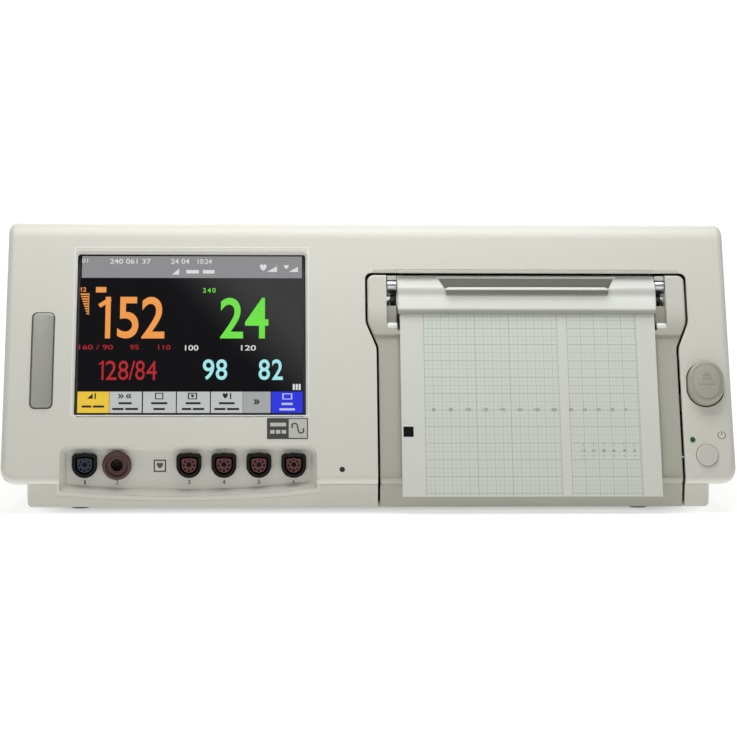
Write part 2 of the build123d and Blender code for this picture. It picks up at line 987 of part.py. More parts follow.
def drawer_front():
    """Moulded drawer front with its ears, roller channels, ledge and chin."""
    outline = drawer_outline(-drawer_half_gap)
    form = level_prism(outline, -overrun, far) & upper_form
    form &= front_block((-far, far), (-far, far), (-ear_depth, overrun))
    rims = [edge for edge in form.edges() if front_depth(edge) > -tiny]
    form = fillet(rims, drawer_edge_round)
    form += drawer_chin()
    side = neck_half - drawer_half_gap
    form -= front_block(drawer_span(side, overrun), (panel_low, panel_top), (-panel_recess, overrun))
    skin_low = -panel_recess - drawer_skin
    inner = side - drawer_skin
    form -= front_block(drawer_span(inner), (room_low, panel_top - drawer_skin), (-far, skin_low))
    form -= front_block(
        drawer_span(channel_half - cheek), (room_low, window_low - channel_step), (-far, skin_low)
    )
    form -= front_block(drawer_span(channel_half), (window_low, far), (-far, overrun))
    ear_outer = ear_half - drawer_half_gap - drawer_skin
    pocket_top = drawer_top - drawer_half_gap - ear_crown
    pocket = Rectangle(ear_outer - channel_half - cheek, pocket_top - ear_bottom)
    for span in ear_spans(channel_half + cheek, ear_outer):
        middle = Pos((span[0] + span[1]) / 2, (ear_bottom + pocket_top) / 2)
        form -= level_prism(middle * pocket, ear_skin / lean_cos, far)
    relief_y, relief_z = pinion_axis()
    relief = gear_module * (pinion_teeth / 2 + 1) + fit
    form -= cross_rod(relief_y, relief_z, relief, drawer_x + channel_half + cheek, drawer_x + ear_outer)
    for span in ear_spans(channel_inner_half, channel_half):
        heights = (window_low - channel_step, channel_top)
        form += front_block(span, heights, (-ear_depth, channel_step - ear_depth))
        form += guide_prism(channel_face(), *span)
    for span in ear_spans(channel_half - overrun, channel_half + cheek + overrun):
        form -= front_cross_rod(span, sleeve_radius)
    return form - front_block(
        (drawer_x + inner - overrun, drawer_x + side + overrun),
        (latch_low - catch_margin, latch_low + catch_width + catch_margin),
        (latch_tip_low - catch_margin, catch_margin - latch_hook_depth),
    )


def channel_face():
    """Side outline of a channel's floor with its round shoulder, in V and depth."""
    low = window_low - channel_step
    high = drawer_top - channel_floor_drop
    under = -channel_floor - channel_step
    points = [
        (low, under),
        (low, 0),
        (shoulder_v, 0),
        (shoulder_v, -channel_floor),
        (high, -channel_floor),
        (high, under),
    ]
    radii = [0, 0, shoulder_round, channel_step, 0, 0]
    return make_face(FilletPolyline(*points, radius=radii, close=True))


def front_cross_rod(span, radius):
    """Cylinder on the platen's axis between two places across the case."""
    y, z = front_point(platen_v, -platen_depth)
    return cross_rod(y, z, radius, *span)


def drawer_tray():
    """Open box that holds the paper pack behind the drawer front."""
    half = bay_width / 2
    front_y = bay_rear - bay_depth
    top = bay_floor + bay_height
    low = bay_floor - tray_wall
    outer = block(
        drawer_span(half + tray_wall),
        (nose_y, bay_rear + tray_wall),
        (low, top),
    )
    outer -= block(drawer_span(half), (front_y, bay_rear), (bay_floor, top + overrun))
    outer -= block(drawer_span(half), (nose_y, front_y - tray_wall), (bay_floor, top + overrun))
    outer -= front_block((-far, far), (-far, far), (-panel_recess - drawer_skin, far))
    front_back = front_point(0, -ear_depth)[0]
    outer -= block((-far, far), (nose_y - overrun, front_back + fit), (0, nose_height + fit))
    return outer


def drawer_slides():
    """The two slides on the sides of the tray, left then right."""
    inner = bay_width / 2 + tray_wall
    slides = []
    for span in ear_spans(inner, inner + runner_thickness):
        slide = block(span, (runner_front, runner_rear), (runner_bottom, runner_bottom + runner_height))
        slides.append(slide)
    return slides


def drawer_rails():
    """The two fixed channels round the slides, left then right."""
    slide_outer = bay_width / 2 + tray_wall + runner_thickness
    rails = []
    for side in (-1, 1):
        web = side_span(side, slide_outer + fit, slide_outer + fit + rail_web)
        low = runner_bottom - fit - rail_lip
        high = runner_bottom + runner_height + fit + rail_lip
        rail = block(web, (rail_front, rail_rear), (low, high))
        lip = side_span(side, slide_outer - runner_thickness + fit, slide_outer + fit)
        rail += block(lip, (rail_front, rail_rear), (low, low + rail_lip))
        rail += block(lip, (rail_front, rail_rear), (high - rail_lip, high))
        rails.append(rail)
    return rails


# Paper


def paper_pack():
    """Fan-folded stack with its folds along the front and back edges."""
    middle = bay_rear - bay_depth / 2
    half = paper_page / 2
    span = drawer_span(paper_width / 2)
    top = bay_floor + paper_stack
    stack = block(span, (middle - half, middle + half), (bay_floor, top))
    step = paper_stack / (fold_count + 1)
    for i in range(fold_count):
        z = bay_floor + (i + 1) * step
        side = -1 if i % 2 else 1
        y = sorted((middle + side * half, middle + side * (half - fold_groove_depth)))
        stack -= block(span, y, (z - fold_groove / 2, z + fold_groove / 2))
    return stack


def paper_route():
    """Path of the sheet from the pack over the platen and down the drawer front."""
    axis_y, axis_z = front_point(platen_v, -platen_depth)
    reach = platen_radius + paper_gap
    start_z = bay_floor + paper_stack + paper_thickness
    rise_y = axis_y + reach
    top_z = axis_z + reach
    lip_y, lip_z = front_point(guide_low_v, paper_lie)
    distance = math.hypot(axis_y - lip_y, axis_z - lip_z)
    climb = math.atan2(axis_z - lip_z, axis_y - lip_y) + math.asin(reach / distance)
    crest_y = lip_y + (top_z - lip_z) / math.tan(climb)
    end = front_point(-paper_drop, paper_lie)
    points = [
        (bay_rear - bay_depth / 3, start_z),
        (rise_y, start_z),
        (rise_y, top_z),
        (crest_y, top_z),
        (lip_y, lip_z),
        end,
    ]
    return FilletPolyline(*points, radius=[paper_bend, reach, reach - tiny, paper_bend / 2])


def paper_sheet():
    """Sheet in use: up behind the platen, over it and down the front."""
    route = paper_route()
    edge = offset(route, amount=paper_thickness, side=Side.LEFT)
    half = paper_width / 2
    return side_prism(make_face(edge.edges()), drawer_x - half, drawer_x + half)


# Platen and its drive


def gear_face(teeth, phase):
    """Outline of a spur gear with straight-sided teeth."""
    pitch_radius = gear_module * teeth / 2
    root = pitch_radius - tooth_drop_share * gear_module
    tip = pitch_radius + tooth_rise_share * gear_module
    step = 2 * math.pi / teeth
    points = []
    for i in range(teeth):
        middle = (i + phase) * step
        for radius, share in (
            (root, -tooth_foot_share),
            (tip, -tooth_tip_share),
            (tip, tooth_tip_share),
            (root, tooth_foot_share),
        ):
            angle = middle + share * step
            points.append((radius * math.cos(angle), radius * math.sin(angle)))
    return make_face(Polyline(*points, close=True))


def platen_axis():
    """Y and Z of the platen's axis."""
    return front_point(platen_v, -platen_depth)


def pinion_axis():
    """Y and Z of the motor's axis, straight behind the platen."""
    y, z = platen_axis()
    reach = gear_module * (gear_teeth + pinion_teeth) / 2 + mesh_slack
    return (y + reach, z)


def platen_roller():
    """Rubber sleeve of the platen."""
    half = platen_length / 2
    span = drawer_span(half)
    return front_cross_rod(span, platen_radius) - front_cross_rod(span, platen_core_radius)


def platen_core():
    """Steel core of the platen with its two journals."""
    half = platen_length / 2
    core = front_cross_rod(drawer_span(half), platen_core_radius)
    journal = (drawer_x - channel_half - cheek, drawer_x + gear_offset + gear_width / 2)
    return core + front_cross_rod(journal, shaft_radius)


def platen_gear():
    """Gear on the right journal of the platen."""
    y, z = platen_axis()
    x = drawer_x + gear_offset
    face = Pos(y, z) * (gear_face(gear_teeth, 0) - Circle(shaft_radius))
    return side_prism(face, x - gear_width / 2, x + gear_width / 2)


def motor_pinion():
    """Pinion in one piece with the motor's shaft."""
    y, z = pinion_axis()
    x = drawer_x + gear_offset
    face = Pos(y, z) * gear_face(pinion_teeth, pinion_phase_share)
    pinion = side_prism(face, x - gear_width / 2, x + gear_width / 2)
    shaft_end = motor_plate_x() + motor_plate + motor_length / 2
    return pinion + cross_rod(y, z, motor_shaft_radius, x, shaft_end)


def motor_plate_x():
    """Inner face of the motor's mounting plate."""
    return drawer_x + ear_half + drawer_half_gap + fit


def motor_mount():
    """Plate on three posts that carries the motor beside the chassis."""
    y, z = pinion_axis()
    x = motor_plate_x()
    plate = cross_rod(y, z, motor_post_circle + motor_post_radius + motor_plate, x, x + motor_plate)
    plate &= block((x, x + motor_plate), (y - motor_radius, far), (0, far))
    hole = motor_shaft_radius + fit
    plate -= cross_rod(y, z, hole, x - overrun, x + overrun)
    for angle in motor_post_angles:
        post_y = y + motor_post_circle * math.cos(math.radians(angle))
        post_z = z + motor_post_circle * math.sin(math.radians(angle))
        plate += cross_rod(post_y, post_z, motor_post_radius, chassis_outer(), x)
    return plate


def stepper_motor():
    """Round stepper motor that drives the platen."""
    y, z = pinion_axis()
    low = motor_plate_x() + motor_plate
    body = cross_rod(y, z, motor_radius, low, low + motor_length)
    body = fillet(body.edges().filter_by(GeomType.CIRCLE), motor_flange / 2)
    bore = motor_shaft_radius + shaft_clearance
    return body - cross_rod(y, z, bore, low, low + motor_length / 2 + fit)


def roller_bearings():
    """Flanged sleeves in the drawer's cheeks, left then right."""
    bearings = []
    bore = shaft_radius + shaft_clearance
    for side in (-1, 1):
        start = channel_inner_half - fit
        end = channel_half + cheek
        sleeve = front_cross_rod(side_span(side, start, end), sleeve_radius)
        flange_span = side_span(side, channel_half - sleeve_flange, channel_half)
        flange = front_cross_rod(flange_span, sleeve_flange_radius)
        hole = front_cross_rod(side_span(side, start - overrun, end + overrun), bore)
        bearings.append(sleeve + flange - hole)
    return bearings


# Paper guide


def guide_sheet():
    """Bent profile of the guide, in V and depth."""
    points = [
        (guide_low_v, guide_front),
        (guide_shoulder_v, guide_front),
        (guide_top_v, guide_front - guide_slant),
        (guide_top_v, -guide_top_depth),
    ]
    line = FilletPolyline(*points, radius=[guide_bend, guide_bend])
    edge = offset(line, amount=guide_wall, side=Side.RIGHT)
    return make_face(edge.edges())


def guide_prism(face, x_low, x_high):
    """Profile in V and depth, carried across the case."""
    plane = front * Plane(origin=(x_low, 0, 0), x_dir=(0, 1, 0), z_dir=(1, 0, 0))
    return extrude(plane * face, amount=x_high - x_low)


def paper_guide():
    """Clear hinged cover over the platen with a finger grip and two hinge rings."""
    span = drawer_span(guide_half)
    guide = guide_prism(guide_sheet(), *span)
    notch = make_face(
        Polyline(
            (-notch_half_bottom, notch_v),
            (notch_half_bottom, notch_v),
            (notch_half_top, notch_top_v),
            (-notch_half_top, notch_top_v),
            close=True,
        )
    )
    guide -= front_prism(Pos(drawer_x, 0) * notch, -far, far)
    pocket = front_block(
        drawer_span(notch_half_top + guide_wall),
        (notch_v - guide_wall, notch_top_v + guide_wall),
        (-notch_depth - guide_wall, -notch_depth),
    )
    shelf = front_block(
        drawer_span(notch_half_top + guide_wall),
        (notch_v - guide_wall, notch_v),
        (-notch_depth - guide_wall, guide_front - guide_wall / 2),
    )
    lip = front_block(
        drawer_span(notch_half_bottom),
        (notch_v - notch_lip_height, notch_v),
        (guide_front - guide_wall, guide_front + notch_lip),
    )
    lip = fillet(lip.edges().filter_by(Axis.X), notch_lip / 2)
    guide += pocket + shelf + lip
    y, z = platen_axis()
    for side in (-1, 1):
        inner = guide_half - guide_web
        ring = front_cross_rod(side_span(side, inner, inner + guide_ring_width), guide_ring_radius)
        web = guide_prism(guide_web_face(), *side_span(side, inner, guide_half))
        hole_span = side_span(side, guide_half - overrun, guide_half + guide_ring_width + overrun)
        hole = front_cross_rod(hole_span, sleeve_radius + shaft_clearance)
        guide += ring + web
        guide -= hole
    return guide


def guide_web_face():
    """End cheek between the guide's sheet and its hinge ring."""
    points = [
        (guide_low_v + guide_wall, guide_front),
        (guide_shoulder_v, guide_front),
        (guide_top_v, guide_front - guide_slant),
        (guide_top_v, -guide_top_depth),
        (platen_v, -platen_depth - guide_ring_radius / 2),
        (platen_v - guide_ring_radius / 2, -platen_depth),
    ]
    return make_face(FilletPolyline(*points, radius=[0, guide_bend, guide_bend, 0, 0, 0], close=True))


# Print head and chassis


def print_head():
    """Thermal head bar behind the platen."""
    axis_y, axis_z = platen_axis()
    face_y = axis_y + platen_radius + paper_gap + paper_thickness + head_gap
    high = axis_z - head_drop
    return block(
        drawer_span(head_width / 2),
        (face_y, face_y + head_thickness),
        (high - head_height, high),
    )


def head_bracket():
    """Finned bar that carries the head between the chassis plates."""
    axis_y, axis_z = platen_axis()
    face_y = axis_y + platen_radius + paper_gap + paper_thickness + head_gap + head_thickness
    high = axis_z - head_drop
    bar = block(
        drawer_span(chassis_inner_half()),
        (face_y, face_y + head_bracket_depth),
        (high - head_height, high),
    )
    count = int(head_width / sink_fin_pitch)
    back = face_y + head_bracket_depth
    for i in range(count):
        x = drawer_x + (i - (count - 1) / 2) * sink_fin_pitch
        bar -= block(
            (x - (sink_fin_pitch - sink_fin) / 2, x + (sink_fin_pitch - sink_fin) / 2),
            (back - sink_fin_depth, back + overrun),
            (high - head_height - overrun, high + overrun),
        )
    return bar


def chassis_inner_half():
    """Half the distance between the chassis plates."""
    return bay_width / 2 + tray_wall + runner_thickness + fit + rail_web


def chassis_outer():
    """Outer face of the right chassis plate."""
    return drawer_x + chassis_inner_half() + chassis_plate


def recorder_chassis():
    """Two upright plates joined by a strap, which carry the rails, the head and the motor."""
    chassis_top = platen_axis()[1] + chassis_rise
    front_low = front_point((floor_top - nose_height) / lean_cos, -chassis_front_depth)
    front_high = front_point((chassis_top - nose_height) / lean_cos, -chassis_front_depth)
    points = [
        (front_low[0], floor_top),
        (front_high[0], chassis_top),
        (front_high[0] + chassis_shoulder, chassis_top),
        (chassis_step_y, chassis_rear_height),
        (chassis_rear, chassis_rear_height),
        (chassis_rear, floor_top),
    ]
    radii = [0] + 4 * [chassis_round] + [0]
    face = make_face(FilletPolyline(*points, radius=radii, close=True))
    inner = chassis_inner_half()
    outer = inner + chassis_plate
    chassis = block(
        drawer_span(outer),
        (chassis_rear - strap_length, chassis_rear),
        (floor_top, floor_top + chassis_plate),
    )
    for span in ear_spans(inner, outer):
        chassis += side_prism(face, *span)
    return chassis


# Buttons, lamp and latch


def eject_button():
    """Oval push button with its flange and stem."""
    cap = front_prism(eject_oval(0), -wall - flange_gap, eject_standout)
    top = [edge for edge in cap.edges() if front_depth(edge) > eject_standout - tiny]
    cap = fillet(top, eject_round)
    flange_top = -wall - flange_gap
    flange = front_prism(eject_oval(flange_margin), flange_top - flange_thickness, flange_top)
    stem_low = -eject_stem_end + eject_tip_length
    stem = front_rod(eject_x, eject_v, eject_stem_radius, stem_low, -wall)
    tip = front_rod(eject_x, eject_v, eject_tip_radius, -eject_stem_end, stem_low)
    return cap + flange + stem + tip


def front_depth(edge):
    """Depth of an edge's middle out of the front plane."""
    return front.to_local_coords(edge.center()).Z


def standby_button():
    """Round domed push button with its flange and plunger."""
    profile_top = standby_standout
    cap = front_rod(standby_x, standby_v, standby_radius, -wall - flange_gap, profile_top)
    top = [edge for edge in cap.edges() if front_depth(edge) > profile_top - tiny]
    cap = fillet(top, standby_crown)
    low = -wall - flange_gap
    flange = front_rod(standby_x, standby_v, standby_radius + flange_margin, low - flange_thickness, low)
    stem_low = switch_height - key_board_depth + standby_travel + fit
    stem = front_rod(standby_x, standby_v, standby_stem_radius, stem_low, low)
    return cap + flange + stem


def power_lamp():
    """Light pipe of the power lamp, from the bezel to the key board."""
    return front_rod(lamp_x, lamp_v, lamp_radius, -key_board_depth, lamp_standout)


def sensor_lens():
    """Small dark lens between the sockets and the drawer."""
    return front_rod(sensor_x, sensor_v, sensor_radius, -wall - fit, 0)


def key_board():
    """Small circuit board behind the buttons, with the standby switch."""
    board = front_block(
        (key_board_left, key_board_right),
        (key_board_low, key_board_high),
        (-key_board_depth - board_thickness, -key_board_depth),
    )
    half = switch_size / 2
    switch = front_block(
        (standby_x - half, standby_x + half),
        (standby_v - half, standby_v + half),
        (-key_board_depth, switch_height - key_board_depth),
    )
    return board + switch


def latch_lever():
    """Lever that the eject button turns to free the drawer."""
    hub = latch_rod(latch_hub_radius, latch_low, latch_high)
    tail = front_block(
        (latch_x, eject_x + eject_stem_radius),
        (latch_high - catch_width, latch_high),
        (-latch_depth - latch_arm / 2, -latch_depth + latch_arm / 2),
    )
    arm = front_block(
        (latch_x - latch_arm / 2, latch_x + latch_arm / 2),
        (latch_low, latch_low + catch_width),
        (-latch_depth, -latch_hook_depth),
    )
    hook = front_block(
        (latch_hook_x, latch_x + latch_arm / 2),
        (latch_low, latch_low + catch_width),
        (latch_tip_low, -latch_hook_depth),
    )
    bore = latch_rod(latch_pin_radius + shaft_clearance, latch_low - overrun, latch_high + overrun)
    return hub + tail + arm + hook - bore


def latch_rod(radius, v_low, v_high):
    """Cylinder up the front plane on the latch's axis."""
    middle = (v_low + v_high) / 2
    rod = Rot(90, 0, 0) * Cylinder(radius, v_high - v_low)
    return front * Pos(latch_x, middle, -latch_depth) * rod


def latch_bracket():
    """Fork on the chassis plate with the latch's pin."""
    depth = (-latch_depth - latch_post_margin, -latch_depth + latch_post_margin)
    x_span = (chassis_outer(), latch_x + latch_post_margin)
    low = latch_low - fit
    high = latch_high + fit
    fork = front_block(x_span, (low - chassis_plate, low), depth)
    fork += front_block(x_span, (high, high + chassis_plate), depth)
    fork += front_block(
        (chassis_outer(), chassis_outer() + chassis_plate), (low, high), depth
    )
    return fork + latch_rod(latch_pin_radius, low, high)


# Rear fittings


def mains_inlet():
    """Appliance inlet with three blades in its mouth."""
    back = case_rear - wall
    y_end = back + inlet_standout
    low = ports_z - inlet_height / 2
    body = block(
        (inlet_x - inlet_width / 2, inlet_x + inlet_width / 2),
        (back - inlet_depth, y_end),
        (low, low + inlet_height),
    )
    flange = block(
        (inlet_x - inlet_width / 2 - inlet_flange, inlet_x + inlet_width / 2 + inlet_flange),
        (back, y_end),
        (low - inlet_flange, low + inlet_height + inlet_flange),
    )
    mouth = block(
        (inlet_x - inlet_width / 2 + wall, inlet_x + inlet_width / 2 - wall),
        (back - inlet_depth + wall, y_end + overrun),
        (low + wall, low + inlet_height - wall),
    )
    inlet = body + flange - mouth
    for i in (-1, 0, 1):
        x = inlet_x + i * blade_pitch
        z = ports_z + (blade_rise if i == 0 else 0)
        inlet += block(
            (x - inlet_blade / 2, x + inlet_blade / 2),
            (back - inlet_depth + wall, back - blade_setback),
            (z - blade_height / 2, z + blade_height / 2),
        )
    return inlet


def earth_post():
    """Equipotential terminal: a pin with a collar."""
    back = case_rear - wall
    pin = depth_rod(earth_x, ports_z, earth_radius, back - inlet_depth / 2, back + earth_length)
    end = pin.edges().filter_by(GeomType.CIRCLE).sort_by(Axis.Y)[-1]
    pin = chamfer(end, earth_radius / 4)
    return pin + depth_rod(earth_x, ports_z, earth_collar_radius, back, back + inlet_standout)


def network_socket():
    """Square network socket."""
    back = case_rear - wall
    half = network_width / 2
    body = block(
        (network_x - half, network_x + half),
        (back - network_depth, back),
        (ports_z - network_height / 2, ports_z + network_height / 2),
    )
    mouth = network_mouth / 2
    body -= block(
        (network_x - mouth, network_x + mouth),
        (back - network_depth + wall, back + overrun),
        (ports_z - network_mouth_height / 2, ports_z + network_mouth_height / 2),
    )
    return body


def serial_socket():
    """Nine-way serial plug with its metal shell."""
    back = case_rear - wall
    flange = block(
        (serial_x - serial_width / 2, serial_x + serial_width / 2),
        (back, back + screw_head / 2),
        (ports_z - serial_height / 2, ports_z + serial_height / 2),
    )
    shell = block(
        (serial_x - serial_shell_width / 2, serial_x + serial_shell_width / 2),
        (back - serial_depth, back + serial_standout),
        (ports_z - serial_shell_height / 2, ports_z + serial_shell_height / 2),
    )
    shell = fillet(shell.edges().filter_by(Axis.Y), fitting_round)
    mouth = block(
        (serial_x - serial_shell_width / 2 + rail_web, serial_x + serial_shell_width / 2 - rail_web),
        (back, back + serial_standout + overrun),
        (ports_z - serial_shell_height / 2 + rail_web, ports_z + serial_shell_height / 2 - rail_web),
    )
    return flange + shell - mouth


# Inner modules


def main_board():
    """Main circuit board with its processor, memory and connectors."""
    half_x = board_width / 2
    half_y = board_length / 2
    top = board_z + board_thickness
    y_span = (board_y - half_y, board_y + half_y)
    board = block((board_x - half_x, board_x + half_x), y_span, (board_z, top))
    half = chip_size / 2
    for x, y in ((-half_x / 2, 0), (half_x / 4, half_y / 3), (half_x / 4, -half_y / 3)):
        board += block(
            (board_x + x - half, board_x + x + half),
            (board_y + y - half, board_y + y + half),
            (top, top + chip_height),
        )
    for x in (-half_x / 2, half_x / 2):
        board += block(
            (board_x + x - half, board_x + x + half),
            (board_y - half_y, board_y - half_y + connector_height),
            (top, top + connector_height),
        )
    return board


def power_supply():
    """Open-frame power supply on its own board."""
    half_x = supply_width / 2
    half_y = supply_length / 2
    low = floor_top + supply_post
    top = low + board_thickness
    x_span = (supply_x - half_x, supply_x + half_x)
    y_span = (supply_y - half_y, supply_y + half_y)
    unit = block(x_span, y_span, (low, top))
    for x in (-1, 1):
        for y in (-1, 1):
            post_x = supply_x + x * (half_x - board_post_inset)
            post_y = supply_y + y * (half_y - board_post_inset)
            unit += post(post_x, post_y, board_post_radius, floor_top, low)
    coil = supply_coil / 2
    coil_y = (supply_y - coil, supply_y + coil)
    unit += block((supply_x - coil, supply_x + coil), coil_y, (top, top + supply_coil))
    can_x = supply_x - half_x + supply_coil
    unit += post(can_x, supply_y, supply_can_radius, top, top + supply_can_height)
    sink_x = supply_x + half_x - supply_coil
    return unit + block((sink_x, sink_x + sink_fin * 2), y_span, (top, top + supply_can_height))


def pressure_pump():
    """Air pump for the cuff, lying in its cradle."""
    z = floor_top + pump_cradle + pump_radius
    half = pump_length / 2
    body = cross_rod(pump_y, z, pump_radius, pump_x - half, pump_x + half)
    body = fillet(body.edges().filter_by(GeomType.CIRCLE), fitting_round)
    nozzle = cross_rod(pump_y, z, pump_nozzle_radius, pump_x - half - pump_nozzle_length, pump_x - half)
    cradle = block(
        (pump_x - half + fitting_round, pump_x + half - fitting_round),
        (pump_y - pump_radius / 2, pump_y + pump_radius / 2),
        (floor_top, floor_top + pump_radius),
    )
    return body + nozzle + cradle


def loudspeaker():
    """Speaker that faces down through the slots in the floor."""
    rim = post(speaker_x, speaker_y, speaker_radius, floor_top, floor_top + speaker_rim)
    cone = Pos(speaker_x, speaker_y, floor_top + speaker_rim + speaker_height / 4) * Cone(
        speaker_radius - speaker_rim, speaker_magnet_radius, speaker_height / 2
    )
    top = floor_top + speaker_height
    return rim + cone + post(speaker_x, speaker_y, speaker_magnet_radius, floor_top + speaker_rim, top)


def nodes():
    """Every sub-part under its name."""
    left_slide, right_slide = drawer_slides()
    left_rail, right_rail = drawer_rails()
    left_bearing, right_bearing = roller_bearings()
    parts = {
        "front_bezel": front_bezel(),
        "top_cover": top_cover(),
        "rear_panel": rear_panel(),
        "rear_screws": rear_screws(),
        "base_tray": base_tray(),
        "rubber_feet": rubber_feet(),
        "display_window": display_window(),
        "lcd_panel": lcd_panel(),
        "display_bracket": display_bracket(),
        "oximetry_socket": signal_socket(oximetry_x),
        "oximetry_insert": signal_insert(oximetry_x),
        "pressure_socket": pressure_socket(),
        "drawer_front": drawer_front(),
        "drawer_tray": drawer_tray(),
        "drawer_slide_left": left_slide,
        "drawer_slide_right": right_slide,
        "drawer_rail_left": left_rail,
        "drawer_rail_right": right_rail,
        "paper_pack": paper_pack(),
        "paper_sheet": paper_sheet(),
        "platen_roller": platen_roller(),
        "platen_core": platen_core(),
        "platen_gear": platen_gear(),
        "roller_bearing_left": left_bearing,
        "roller_bearing_right": right_bearing,
        "paper_guide": paper_guide(),
        "motor_pinion": motor_pinion(),
        "motor_mount": motor_mount(),
        "stepper_motor": stepper_motor(),
        "print_head": print_head(),
        "head_bracket": head_bracket(),
        "recorder_chassis": recorder_chassis(),
        "eject_button": eject_button(),
        "latch_lever": latch_lever(),
        "latch_bracket": latch_bracket(),
        "standby_button": standby_button(),
        "power_lamp": power_lamp(),
        "sensor_lens": sensor_lens(),
        "key_board": key_board(),
        "mains_inlet": mains_inlet(),
        "earth_post": earth_post(),
        "network_socket": network_socket(),
        "serial_socket": serial_socket(),
        "main_board": main_board(),
        "power_supply": power_supply(),
        "pressure_pump": pressure_pump(),
        "loudspeaker": loudspeaker(),
    }
    for i in range(fetal_count):
        x = fetal_first_x + i * fetal_pitch
        parts[f"fetal_socket_{i + 1}"] = signal_socket(x)
        parts[f"fetal_insert_{i + 1}"] = signal_insert(x)
    return parts


os.makedirs("parts", exist_ok=True)
for name, shape in nodes().items():
    if isinstance(shape, list):
        shape = Compound(children=shape)
    export_step(shape, f"parts/{name}.step")
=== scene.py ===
import math

import bpy
from mathutils import Matrix, Vector


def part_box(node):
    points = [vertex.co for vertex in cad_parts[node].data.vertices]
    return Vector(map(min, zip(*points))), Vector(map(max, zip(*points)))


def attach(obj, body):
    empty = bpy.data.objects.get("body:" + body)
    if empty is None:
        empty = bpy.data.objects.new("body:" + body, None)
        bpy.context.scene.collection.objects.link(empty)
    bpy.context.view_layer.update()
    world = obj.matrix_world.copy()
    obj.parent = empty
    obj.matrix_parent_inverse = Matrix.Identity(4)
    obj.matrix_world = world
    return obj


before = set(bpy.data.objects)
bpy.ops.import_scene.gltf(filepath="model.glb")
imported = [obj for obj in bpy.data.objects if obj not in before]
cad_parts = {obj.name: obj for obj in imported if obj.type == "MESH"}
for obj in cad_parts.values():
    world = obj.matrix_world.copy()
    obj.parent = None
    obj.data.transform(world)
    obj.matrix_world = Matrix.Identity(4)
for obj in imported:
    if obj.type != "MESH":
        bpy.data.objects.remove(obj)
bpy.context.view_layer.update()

bl_info = {
    "name": "Fetal monitor",
    "version": (1, 0, 0),
    "blender": (4, 5, 0),
    "location": "View3D > Sidebar > Monitor",
    "description": "Dresses the packed fetal monitor: finishes, screen, marks, paper and stage",
    "category": "Object",
}

# Sizes and places are in millimetres, except where a comment says metres. A tile is held as
# (U span, V span, lift off the front, thickness, corner), and a stamp as (text, U span, V span,
# lift, thickness). The last values may be left out
MM = 0.001

# The leaning front plane and its lower edge: U across, V up the face, W out of it
FRONT_LEAN = math.radians(20.34)
FRONT_Y = -185
FRONT_FOOT = 24
FRONT_PLACE = Matrix.Translation((0, FRONT_Y * MM, FRONT_FOOT * MM)) @ Matrix.Rotation(
    math.pi / 2 - FRONT_LEAN, 4, "X"
)

# The name plate: its lower left corner, the width and thickness of its rim, the lift of its face,
# and the rounding of its rim's corners, its face's corners and its face's edge
PLATE_CORNER = (-196.5, 37.5)
PLATE_RIM = 0.8
PLATE_RIM_THICK = 0.12
PLATE_LIFT = 0.02
PLATE_ROUND = 3.2
FACE_ROUND = 2.6
FACE_EDGE = 0.65

# The option plate's tiles and stamps: its border, its two halves and the signs on them
OPTION_BORDER = ((-59.4, -35.8), (19.5, 32.0), 0, 0.18, 0.5)
OPTION_DARK = ((-59.1, -46.9), (19.8, 31.7), 0.05, 0.2, 0.3)
OPTION_LIGHT = ((-46.9, -36.4), (20.1, 31.4), 0.05, 0.2, 0.3)
OPTION_PULSE = ("⎓", (-57.6, -48.4), (22.6, 29.2), 0.24)
OPTION_WAVE = ("∿", (-45.4, -37.9), (22.6, 29.2), 0.24)

# The display opening's outer edges and the white strips round them, a painted highlight on the opening's
# bevel
RIM_U = (-172.1, -35.7)
RIM_V = (33.8, 136.7)
RIM_WIDTH = 0.7
RIM_THICK = 0.16

# The lit picture: its edges, its depth behind the front, the thickness of its layers, their pitch,
# that of the first over the ground, and how much bolder than the font its large figures are
SCREEN_U = (-169.4, -38.4)
SCREEN_V = (36.2, 134.3)
SCREEN_DEPTH = -4.85
LAYER = 0.04
LAYER_PITCH = 0.05
GROUND_PITCH = 0.06
FIGURE_WEIGHT = 0.012

# Its grey header, the heart rate's small bar and hatched wedge, as spans in U and V, and the wedge's
# tip in U and its count of rows
HEADER = ((-168.6, -39.0), (119.8, 133.4))
HEART_BAR = ((-160.1, -154.0), (110.6, 114.0))
WEDGE = ((-169.1, -163.9), (96.6, 110.2))
WEDGE_TIP = -164.8
WEDGE_ROWS = 9

# The wedge's right line, and the low edge and height of its rows as shares of their pitch
WEDGE_LINE = 0.35
WEDGE_ROW_SHARES = (0.3, 0.55)

# A figure one's flag: its slope, and its reach, start and height as shares of the figure and stroke
FLAG_SLOPE = math.radians(34)
FLAG_REACH_SHARE = 1.12
FLAG_START_SHARES = (0.3, 0.1)
FLAG_HEIGHT_SHARE = 0.84

# How wide the glow's faint patches are, and where the unlit cells lighten, along X and Z summed
CELL_PATCH = 3
SCREEN_SLANT = (9, 68)

